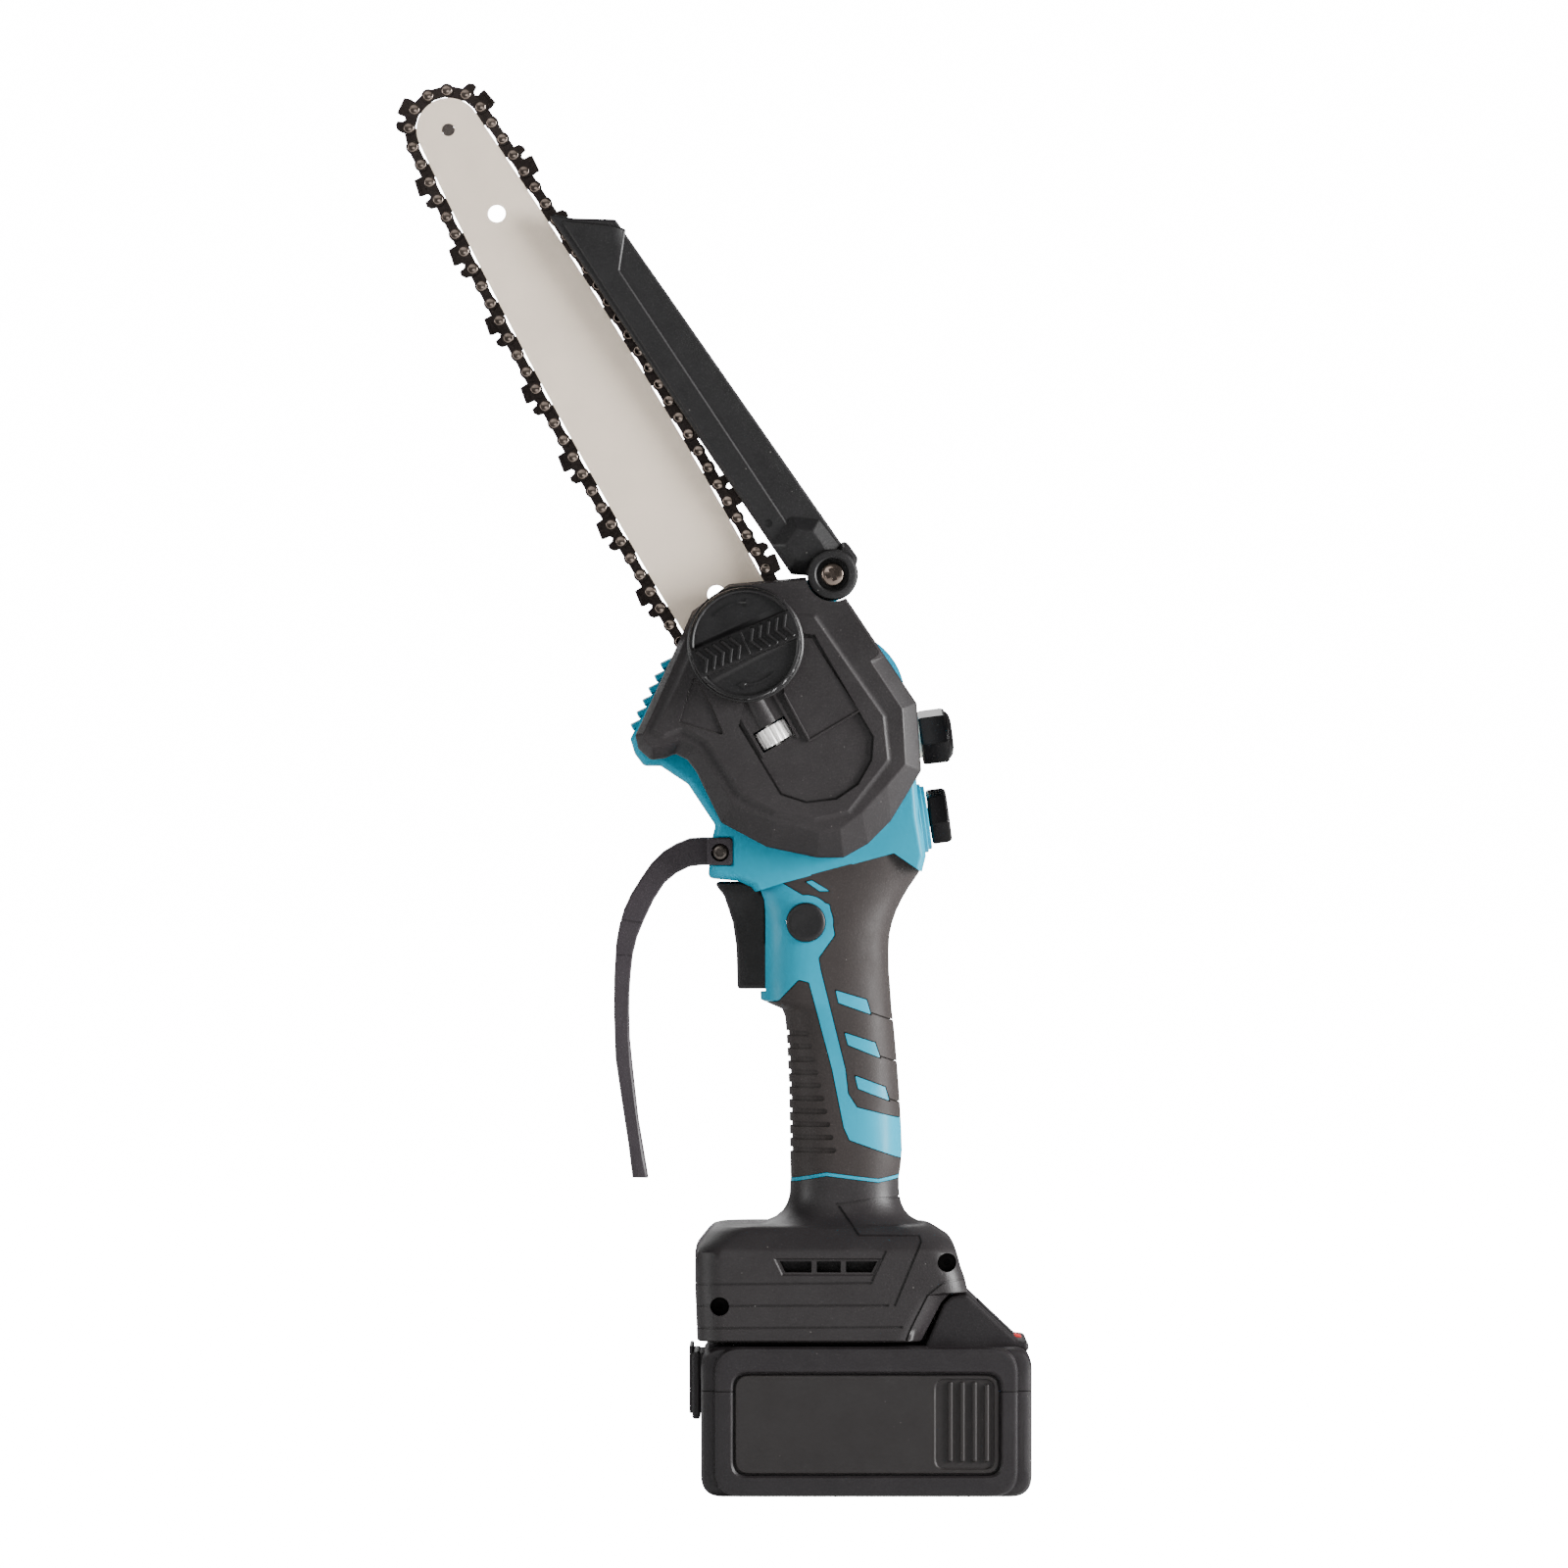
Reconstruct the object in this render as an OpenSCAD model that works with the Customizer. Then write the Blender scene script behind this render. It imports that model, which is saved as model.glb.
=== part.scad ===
// Cordless one-handed mini chainsaw, standing on its battery.
// X points to the back of the grip, Y away from the sprocket cover, Z up. Origin: centre of the battery base.

/* [Bar and chain] */
// Distance between neighbouring chain rivets
rivet_pitch = 6.35; // [6.34:0.005:6.36]
// Distance from the sprocket centre to the nose centre
nose_distance = 233.6; // [233.4:0.1:233.8]
// Radius of the rivet line round the nose
nose_pitch_r = 13; // [12.9:0.05:13.1]
// Radius of the long curved sides of the rivet line
side_r = 1875; // [1800:25:1950]
// Angle of the bar above the +X axis
bar_angle = 120; // [119:1:121]
// Thickness of the guide bar
bar_t = 3; // [2.8:0.1:3.2]
// Thickness of the chain's drive links
gauge = 1.1; // [1:0.05:1.2]

/* [Body] */
// Half of the grip's thickness
grip_y = 17; // [16:0.5:18]
// Half of the grip's core under the rubber
core_y = 15; // [14.5:0.5:15]
// Wall of the moulded shells
wall = 2.5; // [2:0.1:2.6]
// Radius of the motor bulge
bulge_r = 22; // [21.8:0.1:22.4]

/* [Battery] */
// Length of the battery pack
battery_l = 108; // [107:1:109]
// Width of the battery pack
battery_w = 74; // [72:1:76]
// Height of the battery case
battery_h = 49; // [48.5:0.5:49]
// Height of the line where the two battery cases meet
battery_split = 34.5; // [33:0.5:36]

/* [Controls] */
// Radius of the clamp knob
knob_r = 19; // [18:0.5:19.5]
// Radius of the lock-off button
button_r = 6.5; // [6:0.1:6.6]
// Radius of the two hexagonal caps at the back, over their corners
cap_r = 9.4; // [9:0.1:9.6]

/* [Hidden] */
$fn = 64;
gap = 0.3;

cyan = "#1aa7bd";
black = "#302d30";
rubber = "#4b4543";
steel = "#b9bcc0";
dark_steel = "#3a3735";

// ---------- places ----------
sprocket_x = -20;
sprocket_z = 244.5;
gear_angle = 56.6;
pinion_teeth = 10;
gear_teeth = 30;
gear_module = 1;
gear_distance = gear_module * (pinion_teeth + gear_teeth) / 2;
motor_x = sprocket_x + gear_distance * cos(gear_angle);
motor_z = sprocket_z + gear_distance * sin(gear_angle);
pivot_x = -11;
pivot_z = 301;
stud_a = 39;
button_x = -19.7;
button_z = 187.2;
guard_screw_x = -47.9;
guard_screw_z = 210.1;
spring_z = 171.5;
oil_knob_x = 20;
oil_knob_z = 221.5;
cap_tilt = 8;

// ---------- depths, from the near side to the far side ----------
knob_y0 = -44.5;
cover_y0 = -34;
chain_y = -20;
face_y = -14;
head_y1 = 18;
bulge_y1 = 44;
foot_y = 33;

// ---------- chain loop: two end arcs joined by two long arcs ----------
sprocket_teeth = 8;
sprocket_pitch_r = rivet_pitch / 2 / sin(90 / sprocket_teeth);
side_a = (pow(nose_distance, 2) + pow(side_r - sprocket_pitch_r, 2) - pow(side_r - nose_pitch_r, 2))
    / (2 * nose_distance);
side_b = sqrt(pow(side_r - sprocket_pitch_r, 2) - pow(side_a, 2));
sprocket_end = atan2(side_b, -side_a);
nose_end = atan2(side_b, nose_distance - side_a);
function step_angle(r) = 2 * asin(rivet_pitch / (2 * r));
side_n = (sprocket_end - nose_end) / step_angle(side_r);
nose_n = 2 * nose_end / step_angle(nose_pitch_r);
wrap_n = (360 - 2 * sprocket_end) / step_angle(sprocket_pitch_r);
rivets = 88;
loop_n = 2 * side_n + nose_n + wrap_n;
// Shift along the loop that centres a whole number of links on each end arc
phase = 0.15;

function on_arc(a, b, r, angle) = [a + r * cos(angle), b + r * sin(angle)];
function loop_point(s) =
    s < side_n ? on_arc(side_a, side_b, side_r, -sprocket_end + s * step_angle(side_r))
    : s < side_n + nose_n
        ? on_arc(nose_distance, 0, nose_pitch_r, -nose_end + (s - side_n) * step_angle(nose_pitch_r))
    : s < 2 * side_n + nose_n
        ? on_arc(side_a, -side_b, side_r, nose_end + (s - side_n - nose_n) * step_angle(side_r))
    : on_arc(0, 0, sprocket_pitch_r, sprocket_end + (s - 2 * side_n - nose_n) * step_angle(sprocket_pitch_r));
function rivet_point(i) = loop_point(((i % rivets) + phase) * loop_n / rivets);

// First link and number of links of each group, counted from the sprocket along the upper run
upper_first = 0;
nose_first = 37;
lower_first = 43;
wrap_first = 80;

rail_inset = 2.5;
strap_r = 2.2;
// Reach of a strap towards the bar between its two ends
strap_waist = 1.8;
strap_t = 0.95;
link_gap = 0.1;
rivet_r = 1.3;
tang_depth = 6.3;
groove_depth = 5;
strap_in = gauge / 2 + link_gap;
strap_out = strap_in + strap_t;
head_t = 0.4;

// ---------- helpers ----------
// Extrudes a flat outline drawn in X and Z between two depths
module plate(y0, y1) {
    translate([0, y1, 0])
        rotate([90, 0, 0])
            linear_extrude(y1 - y0)
                children();
}

// Rounds the outer and inner corners of a flat outline
module rounded(r) {
    offset(r) offset(-2 * r) offset(r) children();
}

// Cylinder along Y between two depths
module rod(x, z, r, y0, y1) {
    translate([x, y1, z])
        rotate([90, 0, 0])
            cylinder(r = r, h = y1 - y0);
}

// Flat frame of the bar: X along the bar from the sprocket centre, Y towards the cutting side
module bar_plane() {
    translate([sprocket_x, sprocket_z])
        rotate(bar_angle)
            children();
}

// Solid frame of the bar: X along the bar, Y the depth, Z towards the cutting side
module bar_space() {
    translate([sprocket_x, 0, sprocket_z])
        rotate([0, -bar_angle, 0])
            children();
}

module bar_circle(a, b, r) {
    translate([a, b])
        circle(r);
}

function bar_x(a, b) = sprocket_x + a * cos(bar_angle) - b * sin(bar_angle);
function bar_z(a, b) = sprocket_z + a * sin(bar_angle) + b * cos(bar_angle);
stud_x = bar_x(stud_a, 0);
stud_z = bar_z(stud_a, 0);

// ---------- outlines of the body ----------
cover_points = [
    [-57, 289], [-63, 275.5], [-75.5, 248.5], [-74.5, 244], [-70.5, 240.5], [-66, 241], [-62.5, 242.5],
    [-58.5, 240.5], [-55.5, 236.5], [-47.5, 220], [-32.5, 212], [-16, 208.5], [-7.5, 208.5], [0.5, 213],
    [8, 220.5], [18, 237], [16.5, 259], [-7, 294], [-11, 301], [-45, 298]
];
head_points = [
    [-57.5, 287], [-63, 275.5], [-77.5, 247.5], [-76, 242.5], [-73, 238.5], [-67.5, 238.5], [-58.5, 232.5],
    [-49.5, 219], [-50.5, 215], [-52, 203.5], [-41, 202.5], [-36, 200], [-32.5, 193], [-32, 185],
    [10, 185], [13.7, 198.5], [20.3, 205.5], [22, 213], [21, 230], [16.5, 237], [15.5, 258], [-8.5, 292],
    [-17, 300], [-45, 296]
];
grip_points = [
    [-36, 200], [-33, 194], [-32, 183], [-32, 171], [-32.5, 161.5], [-29.5, 160.5], [-26.5, 156],
    [-25.3, 134], [-24.7, 103], [11, 103], [12, 112], [11.5, 124], [9, 155], [7.6, 172], [7.7, 183],
    [10, 191], [14, 198.5], [18, 204]
];
// Cyan part of the side of the grip, proud of the core and level with the rubber
cyan_points = [
    [-40, 196], [-27.5, 200], [-21, 196.2], [-12, 193], [-10.3, 183], [-15.6, 175.5], [-15, 172], [-6.8, 139],
    [-5.9, 131], [-3, 126.5], [20, 120.5], [20, 107], [11.5, 109.7], [-5.4, 115.8], [-7.3, 120],
    [-11.1, 139], [-18.7, 167.5], [-22.1, 168.4], [-28.7, 161.5], [-40, 160]
];
foot_points = [
    [-50, 88], [-56, 81], [-56, 70], [-55.3, 50.5], [18, 50.5], [24.5, 62.9], [27, 65.7], [33.1, 66.6],
    [32.3, 71], [30.6, 75.1], [29, 82], [23.3, 86]
];
foot_top = 88;
grip_bottom = 103;

module head_outline() {
    rounded(1.5) polygon(head_points);
    translate([pivot_x, pivot_z])
        circle(7.6);
    // Serrated front edge
    for (i = [0 : 5])
        translate([-65.4 - i * 1.95, 272.2 - i * 4])
            rotate(26)
                square([4.2, 2.6], center = true);
}

module grip_outline() {
    rounded(1) polygon(grip_points);
}

module cyan_outline() {
    rounded(0.8) polygon(cyan_points);
    translate([button_x, button_z])
        circle(button_r + 2.3);
}

// One tier of the upright column that rounds the grip's section
module grip_tier(x0, x1, z0, z1, inset) {
    corner = 11;
    translate([(x0 + x1) / 2, 0, z0])
        linear_extrude(z1 - z0)
            offset(corner - inset)
                square([x1 - x0 - 2 * corner, 2 * grip_y - 2 * corner], center = true);
}

module grip_column(inset) {
    grip_tier(-25.4, 12.4, 90, 158, inset);
    grip_tier(-33, 10.5, 157.9, 192, inset);
    grip_tier(-40, 20, 191.9, 225, inset);
}

module grip_solid(inset) {
    intersection() {
        plate(-grip_y + inset, grip_y - inset)
            offset(-inset) grip_outline();
        grip_column(inset);
    }
}

module near_half() {
    intersection() {
        children();
        translate([-150, -100, 0]) cube([300, 99.95, 480]);
    }
}

module far_half() {
    intersection() {
        children();
        translate([-150, 0.05, 0]) cube([300, 100, 480]);
    }
}

// ---------- housing ----------
trigger_slot_y = 9.4;

module trigger_slot() {
    plate(-trigger_slot_y, trigger_slot_y)
        polygon([[-60, 201.5], [-35, 201.5], [-30, 199.8], [-22, 199.8], [-22, 164.2], [-60, 164.2]]);
}

module rear_boss(r, x0, x1) {
    translate([oil_knob_x, 0, oil_knob_z])
        rotate([0, 90 - cap_tilt, 0])
            translate([0, 0, x0])
                cylinder(r = r, h = x1 - x0);
}

module shell_body() {
    plate(face_y, head_y1) head_outline();
    intersection() {
        union() {
            grip_solid(grip_y - core_y);
            intersection() {
                grip_solid(0);
                plate(-grip_y, grip_y) cyan_outline();
            }
        }
        translate([-100, -50, grip_bottom]) cube([200, 100, 120]);
    }
    rod(motor_x, motor_z, bulge_r, 0.05, bulge_y1);
    rear_boss(10.6, -6, 0.6);
    // Pad that the bar is clamped against
    plate(chain_y + bar_t / 2 + 0.05, face_y + 0.1)
        bar_plane()
            translate([27, -8])
                square([34, 16]);
}

module shell_hollow() {
    difference() {
        plate(face_y + wall, head_y1 - wall)
            offset(-wall) rounded(1.5) polygon(head_points);
        // Solid block that carries the clamp stud
        rod(stud_x, stud_z, 9, -50, 50);
        // Posts for the shell screws
        shell_posts(4.2);
    }
    grip_solid(grip_y - core_y + wall);
    rod(motor_x, motor_z, bulge_r - wall, wall, bulge_y1 - wall);
    translate([-18, -10, grip_bottom - 5])
        cube([24, 20, 15]);
}

post_places = [[-66, 248], [-37.5, 218], [12, 211], [-52, 283]];

module shell_posts(r) {
    for (p = post_places)
        rod(p[0], p[1], r, -60, 60);
}

module shell_cuts() {
    shell_hollow();
    trigger_slot();
    rod(button_x, button_z, button_r + 0.15, -30, 30);
    rod(sprocket_x, sprocket_z, 7, -30, -10);
    rod(stud_x, stud_z, 4.05, -30, -4);
    rod(pivot_x, pivot_z, 2.1, -30, 10);
    // Pocket for the chip guard's spring
    rod(pivot_x, pivot_z, 4.8, -11.6, -5.6);
    // Notch for the hand guard's block
    translate([-52.5, -30, 205.5]) cube([9, 60, 10]);
    rod(guard_screw_x, guard_screw_z, 2.2, -30, 30);
    for (p = post_places)
        rod(p[0], p[1], 1.5, -9, 14.5);
    for (p = post_places)
        rod(p[0], p[1], 2.9, 14, 30);
    // Air slots in the end of the motor bulge
    for (i = [0 : 7])
        rotate_about_motor(i * 45)
            translate([8, bulge_y1 - wall - 1, -1.4])
                cube([7.5, wall + 2, 2.8]);
    // Bore for the oil knob's stem, and room for its head
    rear_boss(3.4, -12, 2);
    rear_boss(cap_r + 0.6, 0.6, 9);
}

module rotate_about_motor(angle) {
    translate([motor_x, 0, motor_z])
        rotate([0, angle, 0])
            children();
}

module housing_near() {
    color(cyan)
        near_half()
            difference() {
                shell_body();
                shell_cuts();
            }
}

module housing_far() {
    color(cyan)
        far_half()
            difference() {
                shell_body();
                shell_cuts();
            }
    // Collar that the lock-off button's spring pushes against
    color(cyan) {
        ring(button_x, button_z, 8, 3.3, 5.8, 7.8);
        ring(button_x, button_z, 8, 6.8, 7.7, 13.5);
    }
}

module housing_screws() {
    color(dark_steel)
        for (p = post_places) {
            rod(p[0], p[1], 1.45, -7, 14.2);
            difference() {
                rod(p[0], p[1], 2.7, 14.05, 16.5);
                rod(p[0], p[1], 1.1, 15.2, 17);
            }
        }
}

// ---------- rubber ----------
module rubber_body() {
    difference() {
        grip_solid(0);
        plate(-grip_y - 1, grip_y + 1) cyan_outline();
        grip_solid(grip_y - core_y);
        trigger_slot();
        rod(button_x, button_z, button_r + 2.6, -30, 30);
        plate(-30, 30) offset(0.05) rounded(1.5) polygon(head_points);
        // Way for the wires
        translate([-18, -10, grip_bottom - 5]) cube([24, 20, 15]);
        // Finger grooves in the front edge
        for (i = [0 : 9])
            translate([-27, 0, 112.5 + i * 4.2])
                rotate([90, 0, 0])
                    cylinder(r = 0.9, h = 60, center = true, $fn = 24);
    }
}

module grip_near() {
    color(rubber) near_half() rubber_body();
}

module grip_far() {
    color(rubber) far_half() rubber_body();
}

// ---------- foot ----------
flare_steps = 5;
flare_r = 9;
neck_l = 35.5;
neck_w = 34;
neck_r = 12;
neck_x = -7;

module neck_outline(grown) {
    offset(neck_r + grown)
        square([neck_l - 2 * neck_r, neck_w - 2 * neck_r], center = true);
}

module foot_body() {
    // Neck and its flare
    translate([neck_x, 0, foot_top - 4])
        linear_extrude(grip_bottom - foot_top + 3.8)
            neck_outline(0);
    for (i = [0 : flare_steps - 1])
        translate([neck_x, 0, foot_top - 1])
            linear_extrude(1 + flare_r * (1 - sin(90 * (i + 0.5) / flare_steps)))
                neck_outline(flare_r * (1 - cos(90 * (i + 0.5) / flare_steps)));
    intersection() {
        plate(-foot_y, foot_y)
            rounded(2) polygon(foot_points);
        foot_shoulders(0);
    }
}

// Section of the foot seen along X, with its sloped shoulders
module foot_shoulders(inset) {
    translate([-100, 0, 0])
        rotate([90, 0, 90])
            linear_extrude(200)
                offset(delta = -inset)
                    polygon([[-foot_y, 40], [-foot_y, 80], [-foot_y + 9, 89], [foot_y - 9, 89],
                        [foot_y, 80], [foot_y, 40]]);
}

rail_z = 56;

// Channel that the battery's rail slides along, open towards the back
module rail_channel(clear) {
    translate([-46 - clear, -17 - clear, 45])
        cube([90, 34 + 2 * clear, rail_z - 45 + clear]);
    translate([-46 - clear, -20 - clear, 53 - clear])
        cube([90, 40 + 2 * clear, rail_z - 53 + 2 * clear]);
}

foot_screw_places = [[-47.9, 62.1], [26.3, 76.4]];

module foot_cuts() {
    intersection() {
        plate(-foot_y + wall, foot_y - wall)
            offset(-wall) polygon(foot_points);
        translate([-100, -60, rail_z + 3]) cube([200, 120, foot_top - rail_z - 5.5]);
        foot_shoulders(wall);
    }
    translate([neck_x, 0, foot_top - 6])
        linear_extrude(30)
            offset(8) square([26 - 16, 24 - 16], center = true);
    rail_channel(0.4);
    for (p = foot_screw_places) {
        rod(p[0], p[1], 3.1, -40, -foot_y + 8);
        rod(p[0], p[1], 3.1, foot_y - 8, 40);
        rod(p[0], p[1], 1.6, -foot_y + 7, foot_y - 7);
    }
    // Slots for the terminals
    for (y = [-10, 0, 10])
        translate([-39.5, y - 1, 55])
            cube([33, 2, 6]);
    // Air slots
    for (x = [-27.5, -16, -6.5])
        translate([x, -40, 73])
            cube([9, 80, 4.2]);
}

module foot_posts() {
    difference() {
        for (p = foot_screw_places)
            rod(p[0], p[1], 4.5, -foot_y + 1, foot_y - 1);
        for (p = foot_screw_places) {
            rod(p[0], p[1], 3.1, -40, -foot_y + 8);
            rod(p[0], p[1], 3.1, foot_y - 8, 40);
            rod(p[0], p[1], 1.6, -foot_y + 7, foot_y - 7);
        }
        rail_channel(0.4);
    }
}

module foot_shell() {
    difference() {
        foot_body();
        foot_cuts();
    }
    intersection() {
        foot_body();
        foot_posts();
    }
}

module foot_near() {
    color(black) near_half() foot_shell();
}

module foot_far() {
    color(black) far_half() foot_shell();
}

module foot_screws() {
    color(dark_steel)
        for (p = foot_screw_places) {
            rod(p[0], p[1], 1.5, -foot_y + 8.2, foot_y - 14);
            difference() {
                rod(p[0], p[1], 2.8, -foot_y + 5.5, -foot_y + 8);
                rod(p[0], p[1], 1.1, -foot_y + 5, -foot_y + 6.6);
            }
        }
}

// ---------- gearbox ----------
shaft_r = 3;
bearing_r = 6.5;
frame_front = -10.9;
frame_back = 2.5;

module gear_frame_outline() {
    hull() {
        translate([sprocket_x, sprocket_z]) circle(17);
        translate([motor_x, motor_z]) circle(15.2);
    }
}

frame_post_angles = [gear_angle - 60, gear_angle, gear_angle + 60];

module gear_frame() {
    color("#a9adb1")
        difference() {
            union() {
                plate(frame_front, frame_front + 2.5) gear_frame_outline();
                plate(frame_back, frame_back + 3) gear_frame_outline();
                for (angle = frame_post_angles)
                    rod(motor_x + 12.6 * cos(angle), motor_z + 12.6 * sin(angle), 2, frame_front, frame_back + 1);
            }
            rod(sprocket_x, sprocket_z, bearing_r, -30, 30);
            rod(motor_x, motor_z, 6, -30, 30);
            rod(stud_x, stud_z, 9.3, -30, 30);
        }
}

module ring(x, z, outer, inner, y0, y1) {
    difference() {
        rod(x, z, outer, y0, y1);
        rod(x, z, inner, y0 - 1, y1 + 1);
    }
}

module shaft_bearings() {
    color(steel) {
        ring(sprocket_x, sprocket_z, bearing_r - 0.02, shaft_r + 0.02, -13.5, -8.6);
        ring(sprocket_x, sprocket_z, bearing_r - 0.02, shaft_r + 0.02, 1.6, 5.6);
    }
}

// Spur gear outline with straight-sided teeth
module gear_outline(teeth, turn) {
    pitch_r = gear_module * teeth / 2;
    root_r = pitch_r - 1.2 * gear_module;
    tip_r = pitch_r + 0.9 * gear_module;
    rotate(turn) {
        circle(root_r);
        for (i = [0 : teeth - 1])
            rotate(i * 360 / teeth)
                polygon([
                    [root_r - 0.3, -0.85 * gear_module], [pitch_r, -0.68 * gear_module],
                    [tip_r, -0.3 * gear_module], [tip_r, 0.3 * gear_module],
                    [pitch_r, 0.68 * gear_module], [root_r - 0.3, 0.85 * gear_module]
                ]);
    }
}

module drive_gear() {
    color(steel)
        plate(-6.5, -0.5)
            translate([sprocket_x, sprocket_z])
                difference() {
                    gear_outline(gear_teeth, gear_angle);
                    circle(shaft_r + 0.02);
                    for (i = [0 : 4])
                        rotate(i * 72)
                            translate([8.6, 0]) circle(2.4);
                }
}

module output_shaft() {
    color(steel)
        difference() {
            rod(sprocket_x, sprocket_z, shaft_r, -25.5, 6);
            ring(sprocket_x, sprocket_z, 5, 2.4, -24.6, -23.8);
        }
}

module drive_sprocket() {
    tooth_tip = sprocket_pitch_r - rail_inset - 1.1;
    // Teeth stand under the straps, between the tangs of the wrapped drive links
    middle = atan2(rivet_point(84)[1] + rivet_point(83)[1], rivet_point(84)[0] + rivet_point(83)[0]);
    color(steel)
        plate(chain_y - 2.4, chain_y + 2.4)
            bar_plane()
                difference() {
                    union() {
                        circle(9.2);
                        for (i = [0 : sprocket_teeth - 1])
                            rotate(middle + i * 360 / sprocket_teeth)
                                polygon([[8, -2.5], [tooth_tip, -1.6], [tooth_tip, 1.6], [8, 2.5]]);
                    }
                    circle(shaft_r + 0.02);
                }
}

module sprocket_clip() {
    color(dark_steel)
        plate(-24.5, -23.9)
            translate([sprocket_x, sprocket_z])
                difference() {
                    circle(5);
                    circle(2.45);
                    translate([0, -1.9]) square([6, 3.8]);
                }
}

// ---------- motor ----------
motor_y0 = 6.2;
motor_y1 = 36;
motor_shaft_r = 2;

module motor_stator() {
    color("#70757a")
        difference() {
            rod(motor_x, motor_z, 19, motor_y0, motor_y1);
            rod(motor_x, motor_z, 11, motor_y0 + 4, motor_y1 - 4);
            rod(motor_x, motor_z, 5, motor_y0 - 1, motor_y1 + 1);
        }
}

module motor_rotor() {
    color("#8f8a80") {
        rod(motor_x, motor_z, motor_shaft_r, -7.4, 40.5);
        rod(motor_x, motor_z, 10.4, motor_y0 + 5, motor_y1 - 5);
    }
}

module motor_pinion() {
    color(steel)
        plate(-7, 0)
            translate([motor_x, motor_z])
                difference() {
                    gear_outline(pinion_teeth, gear_angle + 180 + 180 / pinion_teeth);
                    circle(motor_shaft_r + 0.02);
                }
}

module motor_fan() {
    color(black) {
        ring(motor_x, motor_z, 4.5, motor_shaft_r + 0.02, 36.6, 40.4);
        difference() {
            plate(36.6, 37.6)
                translate([motor_x, motor_z]) circle(17.5);
            rod(motor_x, motor_z, 4.4, 30, 50);
        }
        for (i = [0 : 8])
            rotate_about_motor(i * 40)
                translate([5, 37.5, -0.6])
                    cube([12, 2.9, 1.2]);
    }
}

// ---------- bar clamp and tensioner ----------
module clamp_stud() {
    color(steel)
        rod(stud_x, stud_z, 4, -40.8, -4.2);
}

module clamp_knob() {
    color(black)
        difference() {
            union() {
                rod(stud_x, stud_z, knob_r, cover_y0 - 9, cover_y0 - gap);
                // Grip bar across the face
                intersection() {
                    rod(stud_x, stud_z, knob_r - 1.4, knob_y0, cover_y0 - 8);
                    plate(knob_y0, cover_y0 - 8)
                        translate([stud_x, stud_z])
                            rotate(23)
                                square([2 * knob_r, 10], center = true);
                }
            }
            // Sunken half moons each side of the grip bar
            difference() {
                rod(stud_x, stud_z, knob_r - 1.5, knob_y0 - 1, cover_y0 - 8.2);
                plate(knob_y0 - 2, cover_y0)
                    translate([stud_x, stud_z])
                        rotate(23)
                            square([3 * knob_r, 10], center = true);
            }
            rod(stud_x, stud_z, 6.5, cover_y0 - 7.4, 0);
        }
}

module knob_nut() {
    color("#c2a24f")
        ring(stud_x, stud_z, 6.48, 4.05, cover_y0 - 7.2, cover_y0 - 0.4);
}

wheel_a = 8.8;
tension_b = 6.7;
tension_y = -28.4;

module chain_space() {
    translate([22, -24.5])
        square([120, 49]);
}

module cover_outline() {
    difference() {
        rounded(1.5) polygon(cover_points);
        translate([pivot_x, pivot_z]) circle(9);
    }
}

module sprocket_cover() {
    color(black)
        difference() {
            union() {
                plate(cover_y0 + 6, face_y - gap) cover_outline();
                // Sloped outer band, built as steps
                for (i = [0 : 3])
                    plate(cover_y0 + 4.5 - i * 1.5, cover_y0 + 6.1 - i * 1.5)
                        offset(delta = -1.4 * (i + 1)) cover_outline();
            }
            plate(cover_y0 + 6, face_y) offset(-wall) cover_outline();
            plate(cover_y0 + wall, cover_y0 + 6.1) offset(-wall - 5) cover_outline();
            // Way out for the bar and the chain
            plate(chain_y - 6.5, face_y)
                bar_plane() chain_space();
            // Window for the tension wheel
            plate(cover_y0 - 1, cover_y0 + wall + 1)
                bar_plane()
                    translate([wheel_a - 3.6, tension_b - 5.9])
                        square([7.2, 11.8]);
            rod(stud_x, stud_z, 4.3, cover_y0 - 1, 0);
        }
    color(black)
        ring(stud_x, stud_z, 7.4, 4.3, cover_y0 + wall - 0.1, chain_y - bar_t / 2 - 0.05);
    // Saddle that carries the tension screw behind the wheel
    color(black)
        bar_space()
            difference() {
                translate([13.2, cover_y0 + wall - 0.1, tension_b - 4])
                    cube([3, 8, 8]);
                translate([12, tension_y, tension_b])
                    rotate([0, 90, 0]) cylinder(r = 2.1, h = 6);
            }
}

module tension_wheel() {
    color(steel)
        bar_space()
            translate([wheel_a - 3, tension_y, tension_b])
                rotate([0, 90, 0])
                    difference() {
                        linear_extrude(6)
                            union() {
                                circle(5.1);
                                for (i = [0 : 17])
                                    rotate(i * 20) translate([5.05, 0]) circle(0.55, $fn = 16);
                            }
                        translate([0, 0, -1]) cylinder(r = 2.02, h = 8);
                    }
}

module tension_screw() {
    color(steel)
        bar_space()
            translate([wheel_a - 4.5, tension_y, tension_b])
                rotate([0, 90, 0])
                    cylinder(r = 2, h = 27.5);
}

pin_a = 27;

module tension_pin() {
    color(steel)
        bar_space() {
            difference() {
                translate([pin_a - 3.5, tension_y - 2.8, tension_b - 3.6])
                    cube([7, 5.7, 7.2]);
                translate([pin_a - 10, tension_y, tension_b])
                    rotate([0, 90, 0]) cylinder(r = 2.08, h = 20);
            }
            translate([pin_a, chain_y + 1.2, tension_b])
                rotate([90, 0, 0]) cylinder(r = 2.2, h = chain_y - tension_y - 1.4);
        }
}

// ---------- bar ----------
heel_a = 20;
slot_w = 8.3;

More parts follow.
